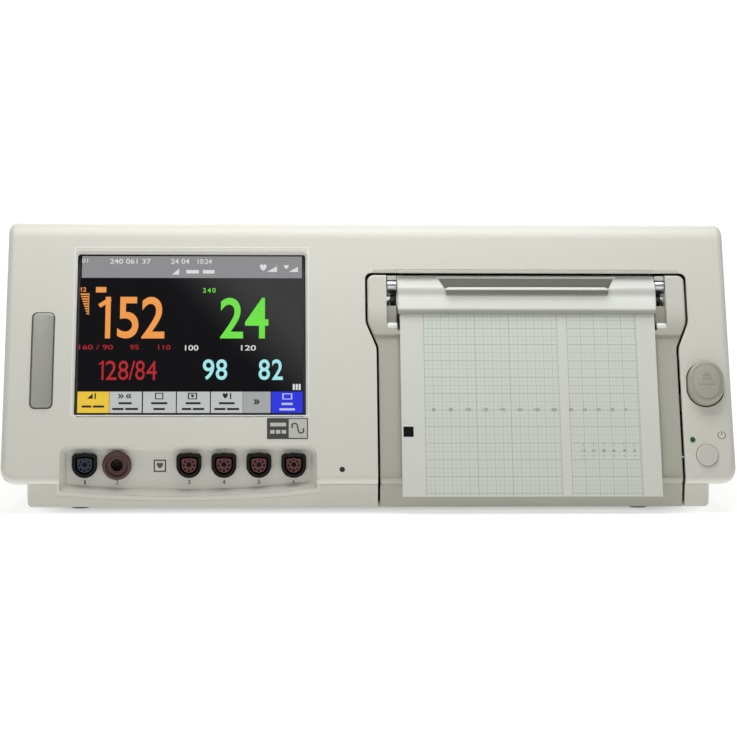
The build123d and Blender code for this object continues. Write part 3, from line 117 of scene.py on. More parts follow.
# Figures of each reading: rows of ((figure, left, right), ...), low and high edge, and stroke
HEART_ROWS = (
    ((("1", -158.2, -151.2), ("5", -147.2, -134.8), ("2", -133.0, -119.6)), (82.1, 107.9), 3.0),
    ((("1", -169.2, -168.3), ("2", -167.6, -165.8)), (111.1, 113.8), 0.5),
)
FORCE_ROWS = (
    ((("2", -87.0, -73.6), ("4", -72.4, -58.7)), (82.2, 107.4), 3.0),
    ((("2", -97.3, -95.4), ("4", -94.6, -92.6), ("0", -91.8, -89.8)), (110.6, 113.5), 0.5),
)
OXYGEN_ROWS = (
    ((("9", -96.9, -90.2), ("8", -89.3, -82.7)), (56.7, 69.3), 1.3),
    ((("8", -64.4, -57.8), ("2", -56.6, -50.3)), (56.7, 69.3), 1.3),
)
PRESSURE_UPPER = (("1", -157.4, -154.5), ("2", -153.3, -147.0), ("8", -146.0, -140.2))
PRESSURE_LOWER = (("/", -139.9, -136.3), ("8", -136.0, -130.6), ("4", -129.7, -123.6))
PRESSURE_ROWS = ((PRESSURE_UPPER + PRESSURE_LOWER, (56.6, 68.4), 1.1),)

# Smaller signs: (sign, left, right, low, high, weight)
PRESSURE_SIGNS = (
    ("160 / 90", -169.1, -149.4, 75.2, 78.2, 0),
    ("95", -139.4, -134.4, 75.2, 78.2, 0),
    ("110", -123.1, -116.0, 75.2, 78.2, 0),
)
WHITE_SIGNS = (
    ("01", -168.7, -165.2, 129.2, 131.8, 0),
    ("240 061 37", -152.2, -128.2, 128.6, 131.8, 0.01),
    ("24 04", -116.3, -105.5, 128.6, 131.8, 0.01),
    ("10:24", -100.6, -92.2, 128.6, 131.8, 0.01),
    ("◢", -115.6, -111.4, 121.9, 125.7, 0),
    ("♥", -63.8, -59.8, 124.3, 128.4, 0),
    ("◢", -59.6, -53.7, 123.7, 127.3, 0),
    ("♥", -49.6, -46.8, 125.6, 128.1, 0),
    ("◢", -46.6, -41.3, 123.7, 127.0, 0),
    ("100", -107.4, -99.6, 74.7, 78.0, 0.01),
    ("120", -74.7, -66.0, 74.7, 78.0, 0.01),
)
KEY_SIGNS = (
    ("◢", -163.6, -160.4, 45.2, 48.4, 0),
    ("»", -146.0, -142.4, 45.4, 48.0, 0.02),
    ("«", -141.4, -137.8, 45.4, 48.0, 0.02),
    ("□", -124.4, -119.6, 44.8, 48.8, 0.01),
    ("□", -105.4, -100.0, 44.8, 48.8, 0.01),
    ("♥", -103.6, -101.8, 45.8, 47.8, 0),
    ("♥", -85.2, -82.2, 45.2, 48.6, 0),
    ("»", -67.4, -63.6, 41.8, 44.8, 0.03),
)
LIGHT_KEY_SIGNS = (("□", -50.6, -44.8, 44.8, 48.4, 0.01),)

# Rows of short bars: (middle, low edge, widths, height, gap)
WHITE_BARS = ((-98.9, 122.6, (7.4, 6.8), 2.2, 2.4), (-42.2, 50.6, (1.2, 1.2, 1.2), 3.6, 0.5))
KEY_BARS = (
    (-160.2, 39.8, (5.6, 6.4), 1.3, 0.9),
    (-141.6, 41.8, (7.6,), 1.3, 0.9),
    (-141.6, 38.3, (6.6, 7.4), 1.3, 0.9),
    (-121.9, 41.8, (9.4,), 1.3, 0.9),
    (-121.9, 38.3, (6.6,), 1.3, 0.9),
    (-102.3, 41.8, (8.6,), 1.3, 0.9),
    (-102.3, 38.3, (5.4, 6.6), 1.3, 0.9),
    (-82.8, 41.8, (9.0,), 1.3, 0.9),
    (-82.8, 38.3, (6.4, 7.0), 1.3, 0.9),
)
LIGHT_KEY_BARS = ((-47.8, 41.4, (6.4,), 1.3, 0.9), (-47.8, 38.1, (9.0,), 1.3, 0.9))
KEY_UPRIGHTS = (((-159.4, -158.6), (45.0, 48.6)), ((-81.0, -80.2), (45.0, 48.6)))

# The keys along the screen's foot: (name, left, right, colour)
KEY_V = (36.6, 49.5)
KEYS = (
    ("yellow", -169.2, -150.9, "#F8CF46"),
    ("pale_1", -150.7, -132.0, "#C9CCCA"),
    ("pale_2", -131.3, -112.3, "#C9CCCA"),
    ("pale_3", -111.7, -92.6, "#C9CCCA"),
    ("pale_4", -92.0, -73.6, "#C9CCCA"),
    ("grey", -73.4, -57.4, "#AEB0B0"),
    ("blue", -57.0, -38.7, "#343CEA"),
)

# Sockets: the recess floor; the turned socket's middle in X and Z; all their middles in X; the low
# and high edge, half widths, boldness and thickness of the numbers under them; the pitch of the
# turned socket's rings; the heart mark's signs
RECESS_FLOOR_Y = -175.52
PRESSURE_PLACE = (-145.7, 27.0)
SOCKET_X = (-164.2, PRESSURE_PLACE[0], *[-104.3 + 20.1 * i for i in range(4)])
NUMBER_Z = (15.9, 18.5)
ONE_HALF = 0.45
NUMBER_HALF = 0.85
NUMBER_WEIGHT = 0.01
MARK_THICK = 0.06
RING_PITCH = 1.3
HEART_SIGNS = (("♥", -122.9, -119.3, 25.0, 28.4, 0), ("□", -124.7, -117.5, 23.0, 30.2, 0))

# Holes in each insert, drawn as black discs that paint the shade inside them: their thickness, their corners
# as a share of the half width, and (across, up, half width) from its middle
HOLE_THICK = 0.05
HOLE_ROUND_SHARE = 0.95
INSERT_HOLES = ((0, 0.4, 1.4), (-2.3, 1.9, 0.5), (2.3, 1.9, 0.5), (0, 3.2, 0.5), (0, -2.6, 0.5))

# The eject button: its middle, half width and half straight side; the height of its top over the front; its
# face's half axes and thickness, and how deep it sits; its line and sign; the gap, width and thickness of the
# dark ring round it, painted shade in the gap
EJECT_PLACE = (196.3, 52.5)
EJECT_RADIUS = 10.35
EJECT_STRAIGHT = 2.65
EJECT_TOP = 5.98
EJECT_FACE = (7.9, 10.3, 0.42)
EJECT_FACE_SINK = 0.05
EJECT_LINE = ((191.6, 200.9), (50.6, 51.5), EJECT_TOP, 0.62, 0.2)
EJECT_SIGN = ("⏏", (193.9, 199.3), (53.8, 58.8), EJECT_TOP, 0.5)
SHADE_RING_GAP = 0.2
SHADE_RING_WIDTH = 0.5
SHADE_RING_THICK = 0.06

# The power sign over the standby button
POWER_SIGN = ("⏻", (201.9, 206.9), (19.3, 24.3), 0, 0.05)

# The drawer's middle, the platen's axis, and the guide with its finger notch, pocket and lip
DRAWER_U = 93.3
PLATEN_V = 110.6
PLATEN_DEPTH = -11.0
GUIDE_HALF = 76.2
GUIDE_V = (96.4, 121.0)
NOTCH_V = (110.8, 118.6)
NOTCH_HALF = (48.5, 52.0)
POCKET_DEPTH = -1.58
POCKET_THICK = 0.15
POCKET_GAP = 0.2
LIP_HALF = NOTCH_HALF[0] - 0.3
LIP = ((DRAWER_U - LIP_HALF, DRAWER_U + LIP_HALF), (105.8, 111.3), 2.6, 1.7, 2.4)
LIP_SHADE_V = (106.6, 113.0)

# How far down the drawer's ears their colour turns to the panel's: painted shade where the ears curve down to
# the panel
EAR_SHADE_V = (82.0, 104.0)

# The trim above the guide, and those between the ears and the guide: the cap as the rest of a
# tile after its U span, and the rods as (V, depth, radius)
LINTEL_HALF = GUIDE_HALF - 0.4
LINTEL = ((DRAWER_U - LINTEL_HALF, DRAWER_U + LINTEL_HALF), (121.35, 123.3), 0.02, 0.3)
TRIM_REACH = (GUIDE_HALF + 0.25, 82.2)
CAP = ((117.7, 120.5), -2.6, 1.0, 0.3)
# The foot rod is near white: a painted highlight on the channel's lower step
FOOT_ROD = (88.7, -1.7, 2.2)
HINGE_ROD = (114.6, -3.2, 2.8)

# The sleeves that the guide turns on
SLEEVE_REACH = GUIDE_HALF + 2.2
SLEEVE_RADIUS = 5.95
SLEEVE_LENGTH = 3.6
SLEEVE_WALL = 0.3

# The printed grids across the paper, their strong lines, how high the paper lies over the front,
# the thickness of its print, and its timing mark
HEART_GRID_U = (32.1, 110.5)
FORCE_GRID_U = (116.2, 157.1)
STRONG_LINES_U = (32.1, 62.1, 82.1, 110.5, 116.3, 157.0)
PAPER_LIE = 0.7
PRINT = 0.03
TIMING_MARK = ((19.3, 25.2), (20.5, 26.7), PAPER_LIE, PRINT)

# The scale numbers: half width by count of digits, boldness, first middle and pitch or each middle,
# and their low and high edges; then the ticks under and over the second scale
SCALE_HALVES = (0.6, 1.1, 1.6)
SCALE_WEIGHT = 0.02
HEART_SCALE_U = (37.1, 10)
FORCE_SCALE_U = (116.9, 125.0, 133.0, 141.0, 149.0)
SCALE_V = (35.9, 38.1)
SECOND_SCALE_U = (123.4, 5.9)
SECOND_SCALE_V = (11.3, 13.2)
SECOND_SCALE_HALF = 0.9
TICK_V = ((8.1, 9.9), (14.7, 16.5))
TICK_HALF = 0.15

# Half sizes of the floor's middle, where its painted shadow lies, in metres, and how the glow grows beyond
# it: rows of (start, end, glow at the start, glow at the end) that are added up
SHADE_HALF = (0.165, 0.125)
SHADE_LEVELS = ((0.0, 0.075, 0.16, 0.74), (0.075, 0.6, 0.0, 0.24))

# The lights' places, aims and sizes, in metres
TOP_LIGHT = ((0, -0.21, 0.62), (0, -0.21, 0), (0.66, 0.4))
FRONT_LIGHT = ((-0.9, -2.2, 1.9), (0, 0, 0.1), (1.6, 1.6))

# The camera's place, and its turns about Z, X and its own view line in degrees
CAMERA_PLACE = (-55.24, -1558.59, 141.09)
CAMERA_TURNS = ((-2.25, "Z"), (90 - 2.41, "X"), (0.14, "Z"))

# The floor's half size and back wall, in metres
FLOOR_HALF = 4
WALL_HEIGHT = 5
SWEEP_RADIUS = 1.5


# Colour and node helpers


def linear(colour, share=1.0):
    """Linear RGBA of a share of an sRGB hex colour."""
    digits = colour.lstrip("#")
    channels = [int(digits[i : i + 2], 16) / 255 for i in (0, 2, 4)]
    straight = [c / 12.92 if c <= 0.04045 else ((c + 0.055) / 1.055) ** 2.4 for c in channels]
    return (*[c * share for c in straight], 1.0)


def add_node(tree, kind, links=(), **settings):
    """Adds a node, sets its properties and sockets, and links its inputs.

    A setting named after a property sets that property. One named second or third sets the input
    in that place, and any other sets the input of its name.
    Each link is (input, source node, source output).
    """
    node = tree.nodes.new(kind)
    places = {"second": 1, "third": 2}
    for name, value in settings.items():
        if hasattr(node, name):
            setattr(node, name, value)
        else:
            node.inputs[places.get(name, name.replace("_", " "))].default_value = value
    for target, source, output in links:
        tree.links.new(source.outputs[output], node.inputs[target])
    return node


def new_material(name, **sockets):
    """An empty material with a principled shader; returns it, its tree and the shader."""
    material = bpy.data.materials.new(name)
    material.use_nodes = True
    tree = material.node_tree
    shader = tree.nodes["Principled BSDF"]
    for socket, value in sockets.items():
        shader.inputs[socket.replace("_", " ")].default_value = value
    return material, tree, shader


def face_height(tree):
    """Length up the leaning front face from its lower edge, in metres."""
    place = add_node(tree, "ShaderNodeTexCoord")
    axes = add_node(tree, "ShaderNodeSeparateXYZ", [("Vector", place, "Object")])
    slope = 1 / math.cos(FRONT_LEAN)
    return add_node(
        tree,
        "ShaderNodeMath",
        [(0, axes, "Z")],
        operation="MULTIPLY_ADD",
        second=slope,
        third=-FRONT_FOOT * MM * slope,
    )


def grain_bump(tree, shader, grain_mm, depth_mm, soft_edge_mm=0.0):
    """Bump from a fine noise whose grains are grain_mm wide, over softened edges."""
    place = add_node(tree, "ShaderNodeTexCoord")
    links = [("Vector", place, "Object")]
    fine = 1 / (grain_mm * MM)
    noise = add_node(tree, "ShaderNodeTexNoise", links, Scale=fine, Detail=2.0, Roughness=0.6)
    links = [("Height", noise, "Fac")]
    bump = add_node(tree, "ShaderNodeBump", links, Strength=1.0, Distance=depth_mm * MM)
    if soft_edge_mm:
        edge = add_node(tree, "ShaderNodeBevel", samples=6, Radius=soft_edge_mm * MM)
        tree.links.new(edge.outputs["Normal"], bump.inputs["Normal"])
    tree.links.new(bump.outputs["Normal"], shader.inputs["Normal"])


def tint(tree, shader, low, high, size_mm, detail=3.0):
    """Base colour that drifts between two close colours over size_mm."""
    place = add_node(tree, "ShaderNodeTexCoord")
    links = [("Vector", place, "Object")]
    drift = add_node(tree, "ShaderNodeTexNoise", links, Scale=1 / (size_mm * MM), Detail=detail)
    links = [("Factor", drift, "Fac")]
    mix = add_node(tree, "ShaderNodeMix", links, data_type="RGBA", A=linear(low), B=linear(high))
    tree.links.new(mix.outputs["Result"], shader.inputs["Base Color"])
    return mix


def height_ramp(tree, span_mm, stops):
    """Colour ramp up the front face: stops are (height in millimetres, linear colour)."""
    low, high = span_mm
    links = [("Value", face_height(tree), 0)]
    span = add_node(tree, "ShaderNodeMapRange", links, From_Min=low * MM, From_Max=high * MM)
    ramp = add_node(tree, "ShaderNodeValToRGB", [("Fac", span, "Result")])
    elements = ramp.color_ramp.elements
    elements[0].color = stops[0][1]
    elements[1].color = stops[-1][1]
    for height_mm, colour in stops[1:-1]:
        elements.new((height_mm - low) / (high - low)).color = colour
    return ramp


def tones(stops):
    """Ramp stops from (height, sRGB hex colour)."""
    return [(height, linear(colour)) for height, colour in stops]


def shares(stops):
    """Ramp stops from (height, share between 0 and 1)."""
    return [(height, (share, share, share, 1)) for height, share in stops]


# Finishes


def moulded_abs(name, low, high, roughness=0.42, edge_mm=0.7):
    """ABS moulded in a spark-eroded tool: an even satin skin with a fine stipple and soft edges."""
    material, tree, shader = new_material(name, Roughness=roughness, IOR=1.53)
    tint(tree, shader, low, high, size_mm=60)
    grain_bump(tree, shader, grain_mm=0.7, depth_mm=0.012, soft_edge_mm=edge_mm)
    return material


def drawer_abs(low, high, panel):
    """The same ABS on the drawer's ears, darkening down their curve to the panel below them with painted
    shade; the panel's colour is partly a greyer plastic and partly painted shade.
    """
    material, tree, shader = new_material("moulded_abs_drawer", Roughness=0.42, IOR=1.53)
    body = tint(tree, shader, low, high, size_mm=60)
    # Painted shade: the ears' colour turns to the panel's down the face
    share = add_node(
        tree,
        "ShaderNodeMapRange",
        [("Value", face_height(tree), 0)],
        interpolation_type="SMOOTHSTEP",
        From_Min=EAR_SHADE_V[0] * MM,
        From_Max=EAR_SHADE_V[1] * MM,
    )
    links = [("Factor", share, "Result"), ("B", body, "Result")]
    mix = add_node(tree, "ShaderNodeMix", links, data_type="RGBA", A=linear(panel))
    tree.links.new(mix.outputs["Result"], shader.inputs["Base Color"])
    grain_bump(tree, shader, grain_mm=0.7, depth_mm=0.012, soft_edge_mm=0.9)
    return material


def rolled_metal(name, colour, roughness=0.32, streak_mm=1.2):
    """Rolled or turned bare metal: a grey or brass sheen with faint streaks along X."""
    material, tree, shader = new_material(name, Metallic=1.0, Roughness=roughness)
    fine = 1 / (streak_mm * MM)
    place = add_node(tree, "ShaderNodeTexCoord")
    links = [("Vector", place, "Object")]
    stretch = add_node(tree, "ShaderNodeMapping", links, Scale=(20.0, fine, fine))
    links = [("Vector", stretch, "Vector")]
    streak = add_node(tree, "ShaderNodeTexNoise", links, Scale=1.0, Detail=2.0)
    links = [("Value", streak, "Fac")]
    gloss = add_node(tree, "ShaderNodeMapRange", links, To_Min=roughness - 0.08, To_Max=roughness + 0.08)
    tree.links.new(gloss.outputs["Result"], shader.inputs["Roughness"])
    links = [("Factor", streak, "Fac")]
    mix = add_node(
        tree, "ShaderNodeMix", links, data_type="RGBA", A=linear(colour), B=linear(colour, 0.86)
    )
    tree.links.new(mix.outputs["Result"], shader.inputs["Base Color"])
    return material


def chrome_plate(name, roughness):
    """Chrome plate: a near mirror, or a soft sheen when satin, with faint turning marks."""
    material, tree, shader = new_material(
        name, Metallic=1.0, Roughness=roughness, Base_Color=linear("#D6D8DA")
    )
    grain_bump(tree, shader, grain_mm=0.5, depth_mm=0.004)
    return material


def rubber(name, low, high, roughness):
    """Moulded rubber or matt nylon: dark, with a soft powdery grain."""
    material, tree, shader = new_material(name, Roughness=roughness, IOR=1.52, Specular_IOR_Level=0.15)
    tint(tree, shader, low, high, size_mm=8)
    grain_bump(tree, shader, grain_mm=0.4, depth_mm=0.02)
    return material


def window_sheet():
    """Hard-coated acrylic sheet with an anti-glare face: clear, with a weak soft reflection."""
    material, tree, shader = new_material(
        "coated_acrylic_window", Roughness=0.16, IOR=1.49, Specular_IOR_Level=0.08, Alpha=0.05
    )
    shader.inputs["Base Color"].default_value = linear("#202226")
    grain_bump(tree, shader, grain_mm=0.5, depth_mm=0.003)
    return material


def clear_guide():
    """Moulded polycarbonate: clear over the paper and hazy above its bend, with painted shade along its lower
    edge, painted light over its shaded top and a painted glow below its bend.
    """
    material, tree, shader = new_material(
        "hazy_polycarbonate", Roughness=0.3, IOR=1.585, Specular_IOR_Level=0.35
    )
    edge = add_node(tree, "ShaderNodeBevel", samples=6, Radius=0.8 * MM)
    tree.links.new(edge.outputs["Normal"], shader.inputs["Normal"])
    # Painted shade along the lower edge, and painted light at the top edge, which lies in shade under the
    # lintel
    skin = (
        (96.4, "#A3A49C"),
        (98.0, "#A3A49C"),
        (100.0, "#F4F5F0"),
        (106.0, "#FBFCF8"),
        (109.4, "#DFE0D9"),
        (112.6, "#E0E1DB"),
        (118.2, "#D4D5CE"),
        (119.6, "#FFFFFF"),
        (121.0, "#FFFFFF"),
    )
    cover = (
        (96.4, 0.8),
        (98.2, 0.8),
        (100.4, 0.6),
        (106.0, 0.62),
        (109.0, 0.6),
        (112.4, 0.94),
        (121.0, 0.94),
    )
    # Painted light: the clear band below the bend glows a little, making up for the paper behind it lying in
    # shade
    glow = ((96.4, 0.03), (98.4, 0.04), (100.0, 0.17), (106.0, 0.15), (109.0, 0.05), (112.4, 0), (121.0, 0))
    shader.inputs["Emission Color"].default_value = linear("#F4F6F0")
    for stops, socket in (
        (tones(skin), "Base Color"),
        (shares(cover), "Alpha"),
        (shares(glow), "Emission Strength"),
    ):
        ramp = height_ramp(tree, GUIDE_V, stops)
        tree.links.new(ramp.outputs["Color"], shader.inputs[socket])
    return material


def shaded_lip():
    """Glossy pale moulded lip, whose lower side is darkened with painted shade where it curves under."""
    material, tree, shader = new_material("glossy_lip_painted_shade", Roughness=0.16, IOR=1.55)
    skin = (
        (106.6, "#C4C5BC"),
        (108.0, "#8A8B82"),
        (109.4, "#77786E"),
        (110.8, "#7C7D73"),
        (111.4, "#F2F3EC"),
        (113.0, "#F2F3EC"),
    )
    ramp = height_ramp(tree, LIP_SHADE_V, tones(skin))
    tree.links.new(ramp.outputs["Color"], shader.inputs["Base Color"])
    return material


def line_mask(tree, value_node, output, pitch_mm, width_mm, offset_mm):
    """1 on thin lines repeated every pitch_mm along a coordinate in metres, 0 between."""
    links = [(0, value_node, output)]
    shifted = add_node(tree, "ShaderNodeMath", links, operation="ADD", second=-offset_mm * MM)
    fold = add_node(tree, "ShaderNodeMath", [(0, shifted, 0)], operation="PINGPONG", second=pitch_mm * MM / 2)
    return add_node(tree, "ShaderNodeMath", [(0, fold, 0)], operation="LESS_THAN", second=width_mm * MM / 2)


def span_mask(tree, axes, low_mm, high_mm):
    """1 between two places across the paper."""
    links = [(0, axes, "X")]
    above = add_node(tree, "ShaderNodeMath", links, operation="GREATER_THAN", second=low_mm * MM)
    below = add_node(tree, "ShaderNodeMath", links, operation="LESS_THAN", second=high_mm * MM)
    return add_node(tree, "ShaderNodeMath", [(0, above, 0), (1, below, 0)], operation="MULTIPLY")


def combine(tree, operation, *masks):
    """Masks or values joined in turn by a product, a sum or the larger of two."""
    total = masks[0]
    for mask in masks[1:]:
        total = add_node(tree, "ShaderNodeMath", [(0, total, 0), (1, mask, 0)], operation=operation)
    return total


def turned_socket():
    """Maroon moulded cuff, turned with fine rings round its bore."""
    material, tree, shader = new_material("turned_maroon_cuff", Roughness=0.4, IOR=1.53)
    place = add_node(tree, "ShaderNodeTexCoord")
    middle = (-PRESSURE_PLACE[0] * MM, 0, -PRESSURE_PLACE[1] * MM)
    centre = add_node(tree, "ShaderNodeMapping", [("Vector", place, "Object")], Location=middle)
    # The wave repeats every 2 pi over 20 times its scale
    rings = add_node(
        tree,
        "ShaderNodeTexWave",
        [("Vector", centre, "Vector")],
        wave_type="RINGS",
        rings_direction="Y",
        Scale=2 * math.pi / (20 * RING_PITCH * MM),
    )
    links = [("Factor", rings, "Fac")]
    mix = add_node(tree, "ShaderNodeMix", links, data_type="RGBA", A=linear("#3F2826"), B=linear("#613C38"))
    tree.links.new(mix.outputs["Result"], shader.inputs["Base Color"])
    bump = add_node(tree, "ShaderNodeBump", [("Height", rings, "Fac")], Distance=0.12 * MM)
    tree.links.new(bump.outputs["Normal"], shader.inputs["Normal"])
    return material


def trace_paper():
    """Heat-sensitive chart paper: smooth, pale green-white, with a fine grey-green printed grid."""
    material, tree, shader = new_material("thermal_chart_paper", Roughness=0.55, IOR=1.45)
    place = add_node(tree, "ShaderNodeTexCoord")
    axes = add_node(tree, "ShaderNodeSeparateXYZ", [("Vector", place, "Object")])
    height = face_height(tree)
    heart = span_mask(tree, axes, *HEART_GRID_U)
    force = span_mask(tree, axes, *FORCE_GRID_U)
    both = combine(tree, "MAXIMUM", heart, force)

    def level_lines(pitch, width, offset):
        return combine(tree, "MULTIPLY", line_mask(tree, height, 0, pitch, width, offset), both)

    def upright_lines(grid, span, pitch, width):
        return combine(tree, "MULTIPLY", line_mask(tree, axes, "X", pitch, width, span[0]), grid)

    # Lines are drawn a little wider than the print's 0.1 mm so that they show
    fine = combine(
        tree,
        "MAXIMUM",
        level_lines(2.5, 0.22, 2.0),
        upright_lines(heart, HEART_GRID_U, 2.5, 0.22),
        upright_lines(force, FORCE_GRID_U, 2.0, 0.18),
    )
    middle = combine(
        tree, "MAXIMUM", level_lines(5.0, 0.26, 2.0), upright_lines(heart, HEART_GRID_U, 5.0, 0.26)
    )
    bold = combine(
        tree,
        "MAXIMUM",
        level_lines(10.0, 0.34, 7.0),
        upright_lines(force, FORCE_GRID_U, 8.0, 0.3),
        *[span_mask(tree, axes, u - 0.2, u + 0.2) for u in STRONG_LINES_U],
    )
    links = [("Factor", both, 0)]
    printed = add_node(
        tree, "ShaderNodeMix", links, data_type="RGBA", A=linear("#E1E2D9"), B=linear("#DEE3D9")
    )
    for mask, colour, strength in (
        (fine, "#B4C0B2", 0.42),
        (middle, "#A9B6A8", 0.5),
        (bold, "#94A294", 0.52),
    ):
        share = add_node(tree, "ShaderNodeMath", [(0, mask, 0)], operation="MULTIPLY", second=strength)
        links = [("Factor", share, 0), ("A", printed, "Result")]
        printed = add_node(tree, "ShaderNodeMix", links, data_type="RGBA", B=linear(colour))
    tree.links.new(printed.outputs["Result"], shader.inputs["Base Color"])
    grain_bump(tree, shader, grain_mm=0.9, depth_mm=0.004)
    return material


def hinge_sleeve():
    """Hinge sleeve of the guide: chrome on its upper half and shiny black on its lower half, a painted
    reflection of the light above and the dark below.
    """
    material, tree, shader = new_material("sleeve_painted_reflection", Roughness=0.14)
    low, high = (PLATEN_V + 0.4) * MM, (PLATEN_V + 1.4) * MM
    upper = add_node(
        tree, "ShaderNodeMapRange", [("Value", face_height(tree), 0)], From_Min=low, From_Max=high
    )
    links = [("Factor", upper, "Result")]
    mix = add_node(tree, "ShaderNodeMix", links, data_type="RGBA", A=linear("#161713"), B=linear("#E4E5E2"))
    tree.links.new(mix.outputs["Result"], shader.inputs["Base Color"])
    tree.links.new(upper.outputs["Result"], shader.inputs["Metallic"])
    return material


def glowing(name, colour):
    """One colour of the lit screen, with the faint cell pattern of the panel in its glow."""
    material, tree, shader = new_material(
        name, Base_Color=linear("#050505"), Roughness=0.4, Specular_IOR_Level=0.1, Emission_Strength=1.0
    )
    place = add_node(tree, "ShaderNodeTexCoord")
    links = [("Vector", place, "Object")]
    cells = add_node(tree, "ShaderNodeTexNoise", links, Scale=1 / (CELL_PATCH * MM), Detail=1.0)
    links = [("Factor", cells, "Fac")]
    mix = add_node(
        tree, "ShaderNodeMix", links, data_type="RGBA", A=linear(colour, 0.92), B=linear(colour)
    )
    tree.links.new(mix.outputs["Result"], shader.inputs["Emission Color"])
    return material


def screen_black():
    """The unlit cells of the panel: near black, a shade lighter towards the upper right."""
    material, tree, shader = new_material(
        "screen_black",
        Base_Color=linear("#050505"),
        Roughness=0.45,
        Specular_IOR_Level=0.03,
        Emission_Strength=1.0,
    )
    place = add_node(tree, "ShaderNodeTexCoord")
    axes = add_node(tree, "ShaderNodeSeparateXYZ", [("Vector", place, "Object")])
    slant = add_node(tree, "ShaderNodeMath", [(0, axes, "X"), (1, axes, "Z")], operation="ADD")
    ramp = add_node(
        tree,
        "ShaderNodeMapRange",
        [("Value", slant, 0)],
        interpolation_type="SMOOTHSTEP",
        From_Min=SCREEN_SLANT[0] * MM,
        From_Max=SCREEN_SLANT[1] * MM,
    )
    links = [("Factor", ramp, "Result")]
    mix = add_node(tree, "ShaderNodeMix", links, data_type="RGBA", A=linear("#0E0E10"), B=linear("#3F3F40"))
    tree.links.new(mix.outputs["Result"], shader.inputs["Emission Color"])
    return material


def printed_ink(name, colour):
    """Pad-printed ink: flat and slightly matt, a little uneven in its cover."""
    material, tree, shader = new_material(name, Roughness=0.5, IOR=1.5, Specular_IOR_Level=0.12)
    lighter = "#" + "".join(f"{min(255, int(colour[i : i + 2], 16) + 8):02X}" for i in (1, 3, 5))
    tint(tree, shader, colour, lighter, size_mm=3)
    return material


def metal_paint(name, low, high):
    """Silver paint with fine flake on a moulded plate."""
    material, tree, shader = new_material(name, Metallic=0.55, Roughness=0.35)
    tint(tree, shader, low, high, size_mm=0.5, detail=1.0)
    grain_bump(tree, shader, grain_mm=0.4, depth_mm=0.006, soft_edge_mm=0.5)
    return material


def circuit_board():
    """Solder-masked glass-fibre board: dark green with copper traces showing through."""
    material, tree, shader = new_material("solder_masked_board", Roughness=0.35, IOR=1.5)
    place = add_node(tree, "ShaderNodeTexCoord")
    traces = add_node(
        tree,
        "ShaderNodeTexBrick",
        [("Vector", place, "Object")],
        Scale=1 / (8 * MM),
        Mortar_Size=0.05,
        Color1=linear("#1F5A38"),
        Color2=linear("#1B5133"),
        Mortar=linear("#2F7A4E"),
    )
    tree.links.new(traces.outputs["Color"], shader.inputs["Base Color"])
    return material


def lamp_lens():
    """Green light pipe with a weak glow: a small dark clear rod."""
    material, tree, shader = new_material(
        "green_light_pipe", Roughness=0.2, IOR=1.49, Emission_Color=linear("#1F5A26"), Emission_Strength=0.25
    )
    tint(tree, shader, "#1E4A22", "#2A5C2E", size_mm=2)
    return material


def stage_white():
    """Matt grey-white sweep that glows white, with a painted shadow where its glow drops under and round the
    case.
    """
    material, tree, shader = new_material(
        "glowing_sweep_painted_shadow", Roughness=0.9, Specular_IOR_Level=0.1, Emission_Color=(1, 1, 1, 1)
    )
    tint(tree, shader, "#A6A6A5", "#A2A2A1", size_mm=300)
    place = add_node(tree, "ShaderNodeTexCoord")
    axes = add_node(tree, "ShaderNodeSeparateXYZ", [("Vector", place, "Object")])
    beyond = []
    for axis, half in zip("XY", SHADE_HALF):
        size = add_node(tree, "ShaderNodeMath", [(0, axes, axis)], operation="ABSOLUTE")
        past = add_node(
            tree, "ShaderNodeMath", [(0, size, 0)], operation="SUBTRACT", use_clamp=True, second=half
        )
        beyond.append(past)
    # The painted shadow fades twice as steeply at the sides, where the case has no foot to show
    steep = add_node(tree, "ShaderNodeMath", [(0, beyond[0], 0)], operation="MULTIPLY", second=2)
    corner = add_node(tree, "ShaderNodeCombineXYZ", [("X", steep, 0), ("Y", beyond[1], 0)])
    reach = add_node(tree, "ShaderNodeVectorMath", [(0, corner, "Vector")], operation="LENGTH")
    levels = [
        add_node(
            tree,
            "ShaderNodeMapRange",
            [("Value", reach, "Value")],
            From_Min=start,
            From_Max=end,
            To_Min=low,
            To_Max=high,
        )
        for start, end, low, high in SHADE_LEVELS
    ]
    glow = combine(tree, "ADD", *levels)
    tree.links.new(glow.outputs[0], shader.inputs["Emission Strength"])
    return material


# Modelling helpers


def deselect():
    """Leaves object mode with nothing selected."""
    if bpy.context.object and bpy.context.object.mode != "OBJECT":
        bpy.ops.object.mode_set(mode="OBJECT")
    bpy.ops.object.select_all(action="DESELECT")


def settle(obj, matrix):
    """Puts a piece in its place and moves that place into its mesh."""
    deselect()
    obj.select_set(True)
    bpy.context.view_layer.objects.active = obj
    obj.matrix_world = matrix @ obj.matrix_world
    bpy.ops.object.transform_apply(location=True, rotation=True, scale=True)
    return obj


def thicken(height):
    """In edit mode, draws the flat mesh out along Z, turns its faces outwards and leaves edit mode."""
    bpy.ops.mesh.select_all(action="SELECT")
    bpy.ops.mesh.extrude_region_move(TRANSFORM_OT_translate={"value": (0, 0, height)})
    bpy.ops.mesh.select_all(action="SELECT")
    bpy.ops.mesh.normals_make_consistent(inside=False)
    bpy.ops.object.mode_set(mode="OBJECT")


def select_upper(obj):
    """Opens edit mode with only the vertices above the middle selected."""
    bpy.ops.object.mode_set(mode="EDIT")
    bpy.ops.mesh.select_mode(type="VERT")
    bpy.ops.mesh.select_all(action="DESELECT")
    bpy.ops.object.mode_set(mode="OBJECT")
    for vertex in obj.data.vertices:
        vertex.select = vertex.co.y > 0
    bpy.ops.object.mode_set(mode="EDIT")


